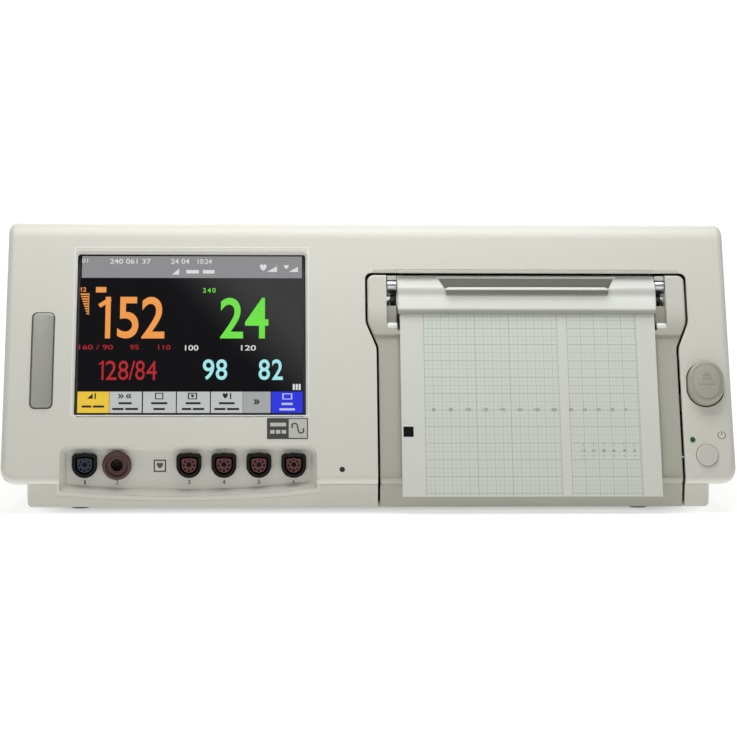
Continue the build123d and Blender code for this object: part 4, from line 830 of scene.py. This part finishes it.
def tile(u_span, v_span, depth, thick, corner=0.0, place=FRONT_PLACE):
    """Flat plate between two corners, in millimetres, with rounded corners."""
    deselect()
    bpy.ops.mesh.primitive_plane_add(size=1)
    obj = bpy.context.object
    obj.scale = ((u_span[1] - u_span[0]) * MM, (v_span[1] - v_span[0]) * MM, 1)
    obj.location = (sum(u_span) / 2 * MM, sum(v_span) / 2 * MM, depth * MM)
    bpy.ops.object.transform_apply(location=True, rotation=True, scale=True)
    bpy.ops.object.mode_set(mode="EDIT")
    bpy.ops.mesh.select_all(action="SELECT")
    if corner:
        bpy.ops.mesh.bevel(offset=corner * MM, segments=6, affect="VERTICES")
    thicken(thick * MM)
    return settle(obj, place)


def stamp(text, u_span, v_span, depth, thick=LAYER, place=FRONT_PLACE, weight=0.0):
    """Raised figures or a symbol that fill a box, in millimetres."""
    deselect()
    bpy.ops.object.text_add()
    obj = bpy.context.object
    obj.data.body = text
    obj.data.resolution_u = 6
    obj.data.offset = weight
    obj.data.extrude = 0.5
    bpy.ops.object.convert(target="MESH")
    corners = [v.co for v in obj.data.vertices]
    low = [min(c[i] for c in corners) for i in range(3)]
    high = [max(c[i] for c in corners) for i in range(3)]
    wanted = (u_span[1] - u_span[0], v_span[1] - v_span[0], thick)
    scale = [wanted[i] * MM / (high[i] - low[i]) for i in range(3)]
    start = Matrix.Translation((u_span[0] * MM, v_span[0] * MM, depth * MM))
    size = Matrix.Diagonal((*scale, 1.0))
    return settle(obj, place @ start @ size @ Matrix.Translation([-c for c in low]))


def numeral_one(u_span, v_span, depth, stroke):
    """A figure one with a slanting flag: a bar down its right side and a short stroke at its top."""
    right, top = u_span[1], v_span[1]
    bar = tile((right - stroke, right), v_span, depth, LAYER)
    reach = (u_span[1] - u_span[0]) * FLAG_REACH_SHARE
    inset, drop = [stroke * share for share in FLAG_START_SHARES]
    end = Matrix.Translation(((right - inset) * MM, (top - drop) * MM, 0))
    lean = end @ Matrix.Rotation(FLAG_SLOPE, 4, "Z")
    flag_v = (-stroke * FLAG_HEIGHT_SHARE, 0)
    flag = tile((-reach, 0), flag_v, depth, LAYER, place=FRONT_PLACE @ lean)
    return [bar, flag]


def figures(rows, depth, weight=FIGURE_WEIGHT):
    """Large figures, each fitted to its own width, from rows as listed at the top."""
    parts = []
    for row, v_span, stroke in rows:
        for figure, left, right in row:
            if figure == "1":
                parts += numeral_one((left, right), v_span, depth, stroke)
            else:
                parts.append(stamp(figure, (left, right), v_span, depth, weight=weight))
    return parts


def signs(rows, depth, thick=LAYER, place=FRONT_PLACE):
    """Smaller signs from rows as listed at the top."""
    return [
        stamp(sign, (left, right), (low, high), depth, thick, place, weight)
        for sign, left, right, low, high, weight in rows
    ]


def bars(rows, depth):
    """Rows of short bars about a middle, where the real screen has words."""
    parts = []
    for centre, low, widths, height, gap in rows:
        left = centre - (sum(widths) + gap * (len(widths) - 1)) / 2
        for width in widths:
            parts.append(tile((left, left + width), (low, low + height), depth, LAYER))
            left += width + gap
    return parts


def hatched_wedge(u_span, v_span, tip_u, rows, depth):
    """Wedge that narrows to a tip at its foot, drawn as rows of lines with a line down its right."""
    pitch = (v_span[1] - v_span[0]) / rows
    low_share, high_share = WEDGE_ROW_SHARES
    parts = [tile((u_span[1] - WEDGE_LINE, u_span[1]), v_span, depth, LAYER)]
    for i in range(rows):
        left = tip_u + (u_span[0] - tip_u) * (i + 1) / rows
        low = v_span[0] + pitch * (i + low_share)
        parts.append(tile((left, u_span[1]), (low, low + pitch * high_share), depth, LAYER))
    return parts


def soften(obj, width_mm, segments=4):
    """Rounds every sharp edge of a piece."""
    deselect()
    obj.select_set(True)
    bpy.context.view_layer.objects.active = obj
    bevel = obj.modifiers.new("soft_edges", "BEVEL")
    bevel.width = width_mm * MM
    bevel.segments = segments
    bevel.limit_method = "ANGLE"
    bpy.ops.object.modifier_apply(modifier=bevel.name)
    bpy.ops.object.shade_smooth_by_angle(angle=math.radians(40))
    return obj


def front_spot(u, v, depth=0.0):
    """Place of a piece on the front face."""
    return FRONT_PLACE @ Matrix.Translation((u * MM, v * MM, depth * MM))


def cross_spot(u, v, depth):
    """Place of a rod that lies across the front face."""
    return front_spot(u, v, depth) @ Matrix.Rotation(math.pi / 2, 4, "Y")


def barrel(u_span, v, depth, radius):
    """Short rod with rounded ends across the front face."""
    deselect()
    length = (u_span[1] - u_span[0]) * MM
    bpy.ops.mesh.primitive_cylinder_add(vertices=48, radius=radius * MM, depth=length)
    return settle(soften(bpy.context.object, 0.5, 3), cross_spot(sum(u_span) / 2, v, depth))


def level_place(y_mm):
    """Upright plane that faces the front at a depth, with U and V as X and Z."""
    return Matrix.Translation((0, y_mm * MM, 0)) @ Matrix.Rotation(math.pi / 2, 4, "X")


def dress(parts, name, body, material):
    """Joins pieces into one, names it, gives it its finish and lets it ride on a body."""
    deselect()
    for part in parts:
        part.select_set(True)
    obj = parts[0]
    bpy.context.view_layer.objects.active = obj
    if len(parts) > 1:
        bpy.ops.object.join()
    obj.name = name
    obj.data.name = name
    obj.data.materials.clear()
    obj.data.materials.append(material)
    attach(obj, body)


# Settings


class MonitorCase(bpy.types.PropertyGroup):
    """Colours of the case."""

    shell: bpy.props.StringProperty(
        name="Shell", description="sRGB hex colour of the moulded shell", default="#E4E3D9"
    )
    # The drawer panel's colour is partly a greyer plastic and partly painted shade
    drawer: bpy.props.StringProperty(
        name="Drawer panel", description="sRGB hex colour of the drawer's panel", default="#BBBAAD"
    )
    button: bpy.props.StringProperty(
        name="Eject button", description="sRGB hex colour of the eject button", default="#AEADA2"
    )
    ink: bpy.props.StringProperty(
        name="Ink", description="sRGB hex colour of the printed marks", default="#5E5D58"
    )


class MonitorScreen(bpy.types.PropertyGroup):
    """Colours of the lit screen."""

    heart: bpy.props.StringProperty(
        name="Heart rate", description="sRGB hex colour of the heart rate", default="#FFA553"
    )
    force: bpy.props.StringProperty(
        name="Contraction", description="sRGB hex colour of the contraction reading", default="#77F04F"
    )
    pressure: bpy.props.StringProperty(
        name="Blood pressure", description="sRGB hex colour of the blood pressure", default="#BC2C34"
    )
    oxygen: bpy.props.StringProperty(
        name="Oxygen", description="sRGB hex colour of the oxygen and pulse readings", default="#ACF4F7"
    )


class MonitorPlate(bpy.types.PropertyGroup):
    """Size of the bare name plate."""

    width: bpy.props.FloatProperty(
        name="Width", description="Width of the name plate", default=13.5 * MM, unit="LENGTH"
    )
    height: bpy.props.FloatProperty(
        name="Height", description="Height of the name plate", default=59 * MM, unit="LENGTH"
    )
    thick: bpy.props.FloatProperty(
        name="Thickness", description="How far the name plate stands out", default=0.8 * MM, unit="LENGTH"
    )


class MonitorStage(bpy.types.PropertyGroup):
    """Floor, lights and camera."""

    lens: bpy.props.FloatProperty(
        name="Lens", description="Focal length on a 36 mm sensor, in millimetres", default=117.2
    )
    top_power: bpy.props.FloatProperty(
        name="Top light", description="Power of the softbox over the case", default=3.2, unit="POWER"
    )
    fill_power: bpy.props.FloatProperty(
        name="Fill light", description="Power of the softbox far in front", default=5.0, unit="POWER"
    )
    sky: bpy.props.FloatProperty(
        name="Room light", description="Brightness of the white room", default=0.1
    )


# Operators


class MONITOR_OT_finishes(bpy.types.Operator):
    """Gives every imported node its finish."""

    bl_idname = "monitor.finishes"
    bl_label = "Case and inner finishes"

    def execute(self, context):
        case = context.scene.monitor_case
        finishes = {
            "case_plastic": moulded_abs("moulded_abs_shell", case.shell, "#DFDED4"),
            "base_plastic": moulded_abs("moulded_abs_base", "#DCDBD0", "#D8D7CC"),
            "drawer_plastic": drawer_abs("#DDDCD1", "#D9D8CD", case.drawer),
            "rear_sheet": moulded_abs("powder_coated_sheet", "#B9B8B0", "#B4B3AB", 0.5, 0.3),
            "steel": rolled_metal("zinc_plated_steel", "#A8AAAC"),
            "chrome": chrome_plate("polished_chrome", 0.12),
            "aluminium": rolled_metal("milled_aluminium", "#C4C6C8", roughness=0.4),
            "brass": rolled_metal("turned_brass", "#C9A35B", roughness=0.25),
            "rubber": rubber("moulded_rubber_feet", "#4A4A46", "#55554F", 0.8),
            "platen_rubber": rubber("ground_platen_rubber", "#242426", "#303032", 0.6),
            "window": window_sheet(),
            "lcd": rolled_metal("display_frame_tin", "#5A5C5E", roughness=0.45),
            "blue_shell": rubber("moulded_black_socket_shell", "#161813", "#1C1E19", 0.55),
            "red_shell": rubber("moulded_brown_socket_shell", "#191613", "#201C19", 0.55),
            "insert_black": moulded_abs("moulded_red_insert", "#6C3633", "#5E2E2B", 0.4, 0.3),
            "clear_guide": clear_guide(),
            "paper": trace_paper(),
            "gear_plastic": moulded_abs("moulded_acetal_gear", "#E8E6DC", "#E2E0D5", 0.35, 0.2),
            "board": circuit_board(),
            "black_plastic": moulded_abs("moulded_black_nylon", "#1C1C1D", "#222223", 0.5, 0.4),
            "button_grey": moulded_abs("moulded_grey_button", case.button, "#A4A398", 0.38),
            "button_pale": moulded_abs("moulded_pale_button", "#D9D7CE", "#D4D2C9", 0.38),
            "lamp_green": lamp_lens(),
        }
        own_finish = {
            "oximetry_insert": moulded_abs("moulded_blue_insert", "#20304A", "#1A273C", 0.4, 0.3),
            "pressure_socket": turned_socket(),
        }
        for name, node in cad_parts.items():
            slot = node.material_slots[0].material.name.split(".")[0]
            node.data.materials.clear()
            node.data.materials.append(own_finish.get(name, finishes[slot]))
        return {"FINISHED"}


class MONITOR_OT_plates(bpy.types.Operator):
    """Adds the bare name plate, white strips round the display as a painted highlight on its bevel, and the
    two-tone option plate.
    """

    bl_idname = "monitor.plates"
    bl_label = "Plates and display rim"

    def execute(self, context):
        plate = context.scene.monitor_plate
        left, low = PLATE_CORNER
        right, high = left + plate.width / MM, low + plate.height / MM
        rim = tile((left, right), (low, high), 0, PLATE_RIM_THICK, PLATE_ROUND)
        face = tile(
            (left + PLATE_RIM, right - PLATE_RIM),
            (low + PLATE_RIM, high - PLATE_RIM),
            PLATE_LIFT,
            plate.thick / MM,
            FACE_ROUND,
        )
        soften(face, FACE_EDGE)
        rim_paint = metal_paint("plate_rim_paint", "#5C5D56", "#686962")
        face_paint = metal_paint("plate_face_paint", "#B4B4AC", "#C2C2BA")
        dress([rim], "name_plate_rim", "case", rim_paint)
        dress([face], "name_plate_face", "case", face_paint)

        across = (RIM_U[0] - RIM_WIDTH, RIM_U[1] + RIM_WIDTH)
        spans = (
            (across, (RIM_V[0] - RIM_WIDTH, RIM_V[0])),
            (across, (RIM_V[1], RIM_V[1] + RIM_WIDTH)),
            ((RIM_U[0] - RIM_WIDTH, RIM_U[0]), RIM_V),
            ((RIM_U[1], RIM_U[1] + RIM_WIDTH), RIM_V),
        )
        # Painted highlight: near-white shiny strips where the opening's bevel catches the light
        painted_highlight_white = moulded_abs("display_rim_painted_highlight", "#FBFBF6", "#F6F6F1", 0.15, 0.2)
        strips = [tile(u_span, v_span, 0, RIM_THICK) for u_span, v_span in spans]
        dress(strips, "display_rim", "case", painted_highlight_white)

        dark = printed_ink("option_plate_dark", "#4B4B48")
        pale = printed_ink("option_plate_pale", "#C6C6BE")
        for name, part, ink in (
            ("border", tile(*OPTION_BORDER), dark),
            ("dark", tile(*OPTION_DARK), dark),
            ("light", tile(*OPTION_LIGHT), pale),
            ("pulse", stamp(*OPTION_PULSE), pale),
            ("wave", stamp(*OPTION_WAVE), dark),
        ):
            dress([part], f"option_plate_{name}", "case", ink)
        return {"FINISHED"}


class MONITOR_OT_screen(bpy.types.Operator):
    """Builds the lit picture behind the display window."""

    bl_idname = "monitor.screen"
    bl_label = "Screen picture"

    def execute(self, context):
        colours = context.scene.monitor_screen
        ground = tile(SCREEN_U, SCREEN_V, SCREEN_DEPTH, LAYER_PITCH)
        dress([ground], "screen_ground", "case", screen_black())
        depth = SCREEN_DEPTH + GROUND_PITCH
        header = tile(*HEADER, depth, LAYER)
        dress([header], "screen_header", "case", glowing("screen_grey", "#979799"))

        depth += LAYER_PITCH
        heart = figures(HEART_ROWS, depth) + [tile(*HEART_BAR, depth, LAYER)]
        heart += hatched_wedge(*WEDGE, WEDGE_TIP, WEDGE_ROWS, depth)
        force = figures(FORCE_ROWS, depth)
        pressure = figures(PRESSURE_ROWS, depth, weight=0) + signs(PRESSURE_SIGNS, depth)
        for name, parts, glow, colour in (
            ("heart_rate", heart, "orange", colours.heart),
            ("contraction", force, "green", colours.force),
            ("pressure", pressure, "red", colours.pressure),
            ("oxygen", figures(OXYGEN_ROWS, depth), "cyan", colours.oxygen),
            ("white", signs(WHITE_SIGNS, depth) + bars(WHITE_BARS, depth), "white", "#E8E8E8"),
        ):
            dress(parts, f"screen_{name}", "case", glowing(f"screen_{glow}", colour))

        key_glow = {}
        for name, left, right, colour in KEYS:
            if colour not in key_glow:
                key_glow[colour] = glowing(f"screen_key_{name.split('_')[0]}", colour)
            key = tile((left, right), KEY_V, depth, LAYER)
            dress([key], f"screen_key_{name}", "case", key_glow[colour])

        depth += LAYER_PITCH
        uprights = [tile(u_span, v_span, depth, LAYER) for u_span, v_span in KEY_UPRIGHTS]
        dark = signs(KEY_SIGNS, depth) + uprights + bars(KEY_BARS, depth)
        dress(dark, "screen_key_marks", "case", glowing("screen_ink", "#2B2C2C"))
        light = signs(LIGHT_KEY_SIGNS, depth) + bars(LIGHT_KEY_BARS, depth)
        dress(light, "screen_key_light", "case", glowing("screen_pale", "#C9CDF4"))
        return {"FINISHED"}


class MONITOR_OT_marks(bpy.types.Operator):
    """Adds the printed marks by the sockets and the controls."""

    bl_idname = "monitor.marks"
    bl_label = "Printed marks"

    def execute(self, context):
        ink = printed_ink("printed_marks", context.scene.monitor_case.ink)
        floor = level_place(RECESS_FLOOR_Y)
        numbers = []
        for number, x in enumerate(SOCKET_X, 1):
            half = ONE_HALF if number == 1 else NUMBER_HALF
            numbers.append((str(number), x - half, x + half, *NUMBER_Z, NUMBER_WEIGHT))
        dress(signs(numbers, 0, MARK_THICK, floor), "socket_numbers", "case", ink)
        dress(signs(HEART_SIGNS, 0, MARK_THICK, floor), "heart_mark", "case", ink)

        # Painted shade: flat black discs stand for the dark inside the pin holes
        hole_shade = printed_ink("socket_hole_painted_shade", "#0B0B0A")
        for insert in ("oximetry_insert", *[f"fetal_insert_{i}" for i in range(1, 5)]):
            low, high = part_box(insert)
            x, z = (low[0] + high[0]) / 2 / MM, (low[2] + high[2]) / 2 / MM
            face = level_place(low[1] / MM)
            holes = []
            for u, v, half in INSERT_HOLES:
                spans = ((x + u - half, x + u + half), (z + v - half, z + v + half))
                holes.append(tile(*spans, 0, HOLE_THICK, half * HOLE_ROUND_SHARE, face))
            dress(holes, f"{insert}_holes", "case", hole_shade)
        power_ink = printed_ink("power_mark", "#8A8980")
        dress([stamp(*POWER_SIGN)], "power_mark", "case", power_ink)
        return {"FINISHED"}


class MONITOR_OT_controls(bpy.types.Operator):
    """Adds the eject button's face, its raised line and symbol, and a dark ring round it, painted shade in
    the gap.
    """

    bl_idname = "monitor.controls"
    bl_label = "Eject button trim"

    def execute(self, context):
        line = soften(tile(*EJECT_LINE), 0.14, 3)
        symbol = stamp(*EJECT_SIGN)
        deselect()
        bpy.ops.mesh.primitive_circle_add(vertices=64, radius=1, fill_type="NGON")
        face = context.object
        bpy.ops.object.mode_set(mode="EDIT")
        thicken(1)
        size = Matrix.Diagonal((*[side * MM for side in EJECT_FACE], 1))
        soften(settle(face, front_spot(*EJECT_PLACE, EJECT_TOP - EJECT_FACE_SINK) @ size), 0.3, 3)
        # Painted shade: a dark ring where the gap round the button lies in shade
        gap_shade_black = rubber("eject_gap_painted_shade", "#2E2E2A", "#383834", 0.7)
        dress([self.seal()], "eject_gap_shade", "case", gap_shade_black)
        pale = moulded_abs("moulded_eject_face", "#B6B5AA", "#B0AFA4", 0.38, 0.5)
        dress([face], "eject_face", "eject", pale)
        grey = moulded_abs("moulded_eject_mark", "#A9A89D", "#A3A297", 0.38)
        dress([line, symbol], "eject_mark", "eject", grey)
        return {"FINISHED"}

    def seal(self):
        """Thin dark ring in the gap round the button, painted shade in the gap, drawn out from its oval."""
        deselect()
        inner = EJECT_RADIUS + SHADE_RING_GAP
        bpy.ops.mesh.primitive_circle_add(vertices=64, radius=inner, fill_type="NOTHING")
        ring = bpy.context.object
        select_upper(ring)
        bpy.ops.transform.translate(value=(0, 2 * EJECT_STRAIGHT, 0))
        bpy.ops.mesh.select_all(action="SELECT")
        bpy.ops.transform.translate(value=(0, -EJECT_STRAIGHT, 0))
        bpy.ops.mesh.extrude_region_move()
        grow = (inner + SHADE_RING_WIDTH) / inner
        bpy.ops.transform.resize(value=(grow, grow, 1), center_override=(0, 0, 0))
        thicken(SHADE_RING_THICK)
        return settle(ring, front_spot(*EJECT_PLACE) @ Matrix.Scale(MM, 4))


class MONITOR_OT_guide(bpy.types.Operator):
    """Trims the hinged guide and what is round it: pocket, lip, sleeves, lintel and channels."""

    bl_idname = "monitor.guide"
    bl_label = "Guide trim"

    def execute(self, context):
        # Painted shade: a dark grey plate in the finger notch, where the notch lies in shade
        pocket_shade = moulded_abs("pocket_painted_shade", "#84857A", "#7B7C71", 0.3, 0.3)
        dress([self.pocket()], "guide_pocket", "guide", pocket_shade)
        lip = soften(tile(*LIP), 0.7)
        dress([lip], "guide_lip", "guide", shaded_lip())
        lintel = soften(tile(*LINTEL), 0.12, 2)
        # A shade darker than the shell: painted shade on the lintel's lower edge
        shade = moulded_abs("moulded_abs_lintel", "#CFCEC3", "#C9C8BD", edge_mm=0.3)
        dress([lintel], "lintel_trim", "case", shade)

        satin = chrome_plate("satin_chrome", 0.38)
        cap_grey = moulded_abs("moulded_abs_cap", "#D3D2C7", "#CDCCC1", edge_mm=0.3)
        # Painted highlight: a near-white shiny rod on each channel's lower step
        painted_highlight_white = moulded_abs("step_painted_highlight", "#FBFBF6", "#F6F6F1", 0.12, 0.3)
        sides = ((-1, "left"), (1, "right"))
        for side, name in sides:
            span = sorted(DRAWER_U + side * reach for reach in TRIM_REACH)
            cap = soften(tile(span, *CAP), 0.3)
            dress([cap], f"channel_cap_{name}", "drawer", cap_grey)
            dress([barrel(span, *FOOT_ROD)], f"channel_foot_{name}", "drawer", painted_highlight_white)
            dress([barrel(span, *HINGE_ROD)], f"hinge_barrel_{name}", "drawer", satin)

        sleeve_finish = hinge_sleeve()
        for side, name in sides:
            sleeve = self.sleeve(DRAWER_U + side * SLEEVE_REACH)
            dress([sleeve], f"guide_sleeve_{name}", "guide", sleeve_finish)
        return {"FINISHED"}

    def pocket(self):
        """Thin plate in the finger notch, wider at its top, dark as painted shade in the notch."""
        deselect()
        bpy.ops.mesh.primitive_plane_add(size=1)
        plate = bpy.context.object
        select_upper(plate)
        bpy.ops.transform.resize(value=(NOTCH_HALF[1] / NOTCH_HALF[0], 1, 1), center_override=(0, 0, 0))
        thicken(POCKET_THICK)
        width = 2 * (NOTCH_HALF[0] - POCKET_GAP)
        height = NOTCH_V[1] - NOTCH_V[0] - POCKET_GAP
        size = Matrix.Diagonal((width * MM, height * MM, MM, 1))
        return settle(plate, front_spot(DRAWER_U, sum(NOTCH_V) / 2, POCKET_DEPTH) @ size)

    def sleeve(self, u):
        """Open sleeve about the platen's axis."""
        deselect()
        bpy.ops.mesh.primitive_cylinder_add(
            vertices=48, radius=SLEEVE_RADIUS * MM, depth=SLEEVE_LENGTH * MM, end_fill_type="NOTHING"
        )
        sleeve = bpy.context.object
        wall = sleeve.modifiers.new("wall", "SOLIDIFY")
        wall.thickness = SLEEVE_WALL * MM
        wall.offset = -1
        bpy.ops.object.modifier_apply(modifier=wall.name)
        return settle(soften(sleeve, 0.12, 2), cross_spot(u, PLATEN_V, PLATEN_DEPTH))


class MONITOR_OT_paper(bpy.types.Operator):
    """Prints the timing mark and the scale numbers on the paper."""

    bl_idname = "monitor.paper"
    bl_label = "Paper print"

    def execute(self, context):
        black = printed_ink("paper_black", "#0C0C0C")
        dress([tile(*TIMING_MARK)], "paper_timing_mark", "drawer", black)
        numbers = [(str(60 + 20 * i), HEART_SCALE_U[0] + HEART_SCALE_U[1] * i) for i in range(8)]
        numbers += [(str(80 - 20 * i), x) for i, x in enumerate(FORCE_SCALE_U)]
        rows = []
        for number, x in numbers:
            half = SCALE_HALVES[len(number) - 1]
            rows.append((number, x - half, x + half, *SCALE_V, SCALE_WEIGHT))
        ticks = []
        half = SECOND_SCALE_HALF
        for i in range(6):
            x = SECOND_SCALE_U[0] + SECOND_SCALE_U[1] * i
            rows.append((str(12 - 2 * i), x - half, x + half, *SECOND_SCALE_V, SCALE_WEIGHT))
            for tick_v in TICK_V:
                ticks.append(tile((x - TICK_HALF, x + TICK_HALF), tick_v, PAPER_LIE, PRINT))
        ink = printed_ink("paper_scale_ink", "#8E9A8F")
        dress(signs(rows, PAPER_LIE, PRINT) + ticks, "paper_scale", "drawer", ink)
        return {"FINISHED"}


class MONITOR_OT_stage(bpy.types.Operator):
    """Adds the floor, the lights and the camera."""

    bl_idname = "monitor.stage"
    bl_label = "Stage"

    def execute(self, context):
        stage = context.scene.monitor_stage
        self.sweep()
        for name, (place, aim, size), power in (
            ("top_softbox", TOP_LIGHT, stage.top_power),
            ("front_softbox", FRONT_LIGHT, stage.fill_power),
        ):
            deselect()
            bpy.ops.object.light_add(type="AREA", location=place)
            light = context.object
            light.name = name
            light.data.shape = "RECTANGLE"
            light.data.size, light.data.size_y = size
            light.data.energy = power
            light.rotation_euler = (Vector(aim) - Vector(place)).to_track_quat("-Z", "Y").to_euler()

        world = bpy.data.worlds.new("white_room")
        world.use_nodes = True
        background = world.node_tree.nodes["Background"]
        background.inputs["Color"].default_value = (1, 1, 1, 1)
        # The room lights the case weakly but is seen as white behind the sweep
        seen = add_node(world.node_tree, "ShaderNodeLightPath")
        links = [("Value", seen, "Is Camera Ray")]
        strength = add_node(world.node_tree, "ShaderNodeMapRange", links, To_Min=stage.sky, To_Max=1.0)
        world.node_tree.links.new(strength.outputs["Result"], background.inputs["Strength"])
        context.scene.world = world

        deselect()
        bpy.ops.object.camera_add()
        camera = context.object
        camera.name = "photo_camera"
        camera.data.sensor_width = 36
        camera.data.lens = stage.lens
        camera.data.clip_start = 0.05
        camera.data.clip_end = 50
        place = Matrix.Translation([side * MM for side in CAMERA_PLACE])
        for degrees, axis in CAMERA_TURNS:
            place = place @ Matrix.Rotation(math.radians(degrees), 4, axis)
        camera.matrix_world = place
        context.scene.camera = camera
        context.scene.view_settings.view_transform = "Standard"
        return {"FINISHED"}

    def sweep(self):
        """Floor with a back wall, joined by a wide round."""
        deselect()
        bpy.ops.mesh.primitive_plane_add(size=2 * FLOOR_HALF, location=(0, 0, 0))
        floor = bpy.context.object
        bpy.ops.object.mode_set(mode="EDIT")
        bpy.ops.mesh.select_mode(type="EDGE")
        self.select_back_edge(floor)
        bpy.ops.mesh.extrude_region_move(TRANSFORM_OT_translate={"value": (0, 0, WALL_HEIGHT)})
        self.select_back_edge(floor)
        bpy.ops.mesh.bevel(offset=SWEEP_RADIUS, segments=16, affect="EDGES")
        bpy.ops.object.mode_set(mode="OBJECT")
        bpy.ops.object.shade_smooth()
        floor.name = "studio_sweep"
        floor.data.materials.append(stage_white())

    def select_back_edge(self, floor):
        """In edit mode, selects only the floor's back edge."""
        bpy.ops.mesh.select_all(action="DESELECT")
        bpy.ops.object.mode_set(mode="OBJECT")
        for edge in floor.data.edges:
            ends = [floor.data.vertices[i].co for i in edge.vertices]
            edge.select = all(end.y > FLOOR_HALF - 0.1 and end.z < 0.1 for end in ends)
        bpy.ops.object.mode_set(mode="EDIT")


class MONITOR_PT_panel(bpy.types.Panel):
    """Lists the monitor's pieces and settings."""

    bl_idname = "MONITOR_PT_panel"
    bl_label = "Fetal monitor"
    bl_space_type = "VIEW_3D"
    bl_region_type = "UI"
    bl_category = "Monitor"

    def draw(self, context):
        for operator in OPERATORS:
            self.layout.operator(operator.bl_idname)
        for group_name in GROUPS:
            group = getattr(context.scene, group_name)
            for name in group.__annotations__:
                self.layout.prop(group, name)


OPERATORS = (
    MONITOR_OT_finishes,
    MONITOR_OT_plates,
    MONITOR_OT_screen,
    MONITOR_OT_marks,
    MONITOR_OT_controls,
    MONITOR_OT_guide,
    MONITOR_OT_paper,
    MONITOR_OT_stage,
)
GROUPS = {
    "monitor_case": MonitorCase,
    "monitor_screen": MonitorScreen,
    "monitor_plate": MonitorPlate,
    "monitor_stage": MonitorStage,
}


def register():
    for group in GROUPS.values():
        bpy.utils.register_class(group)
    for operator in OPERATORS:
        bpy.utils.register_class(operator)
    bpy.utils.register_class(MONITOR_PT_panel)
    for name, group in GROUPS.items():
        setattr(bpy.types.Scene, name, bpy.props.PointerProperty(type=group))


def unregister():
    for name in GROUPS:
        delattr(bpy.types.Scene, name)
    bpy.utils.unregister_class(MONITOR_PT_panel)
    for operator in reversed(OPERATORS):
        bpy.utils.unregister_class(operator)
    for group in reversed(list(GROUPS.values())):
        bpy.utils.unregister_class(group)


def main():
    register()
    for operator in OPERATORS:
        group, name = operator.bl_idname.split(".")
        getattr(getattr(bpy.ops, group), name)()


if __name__ == "__main__":
    main()
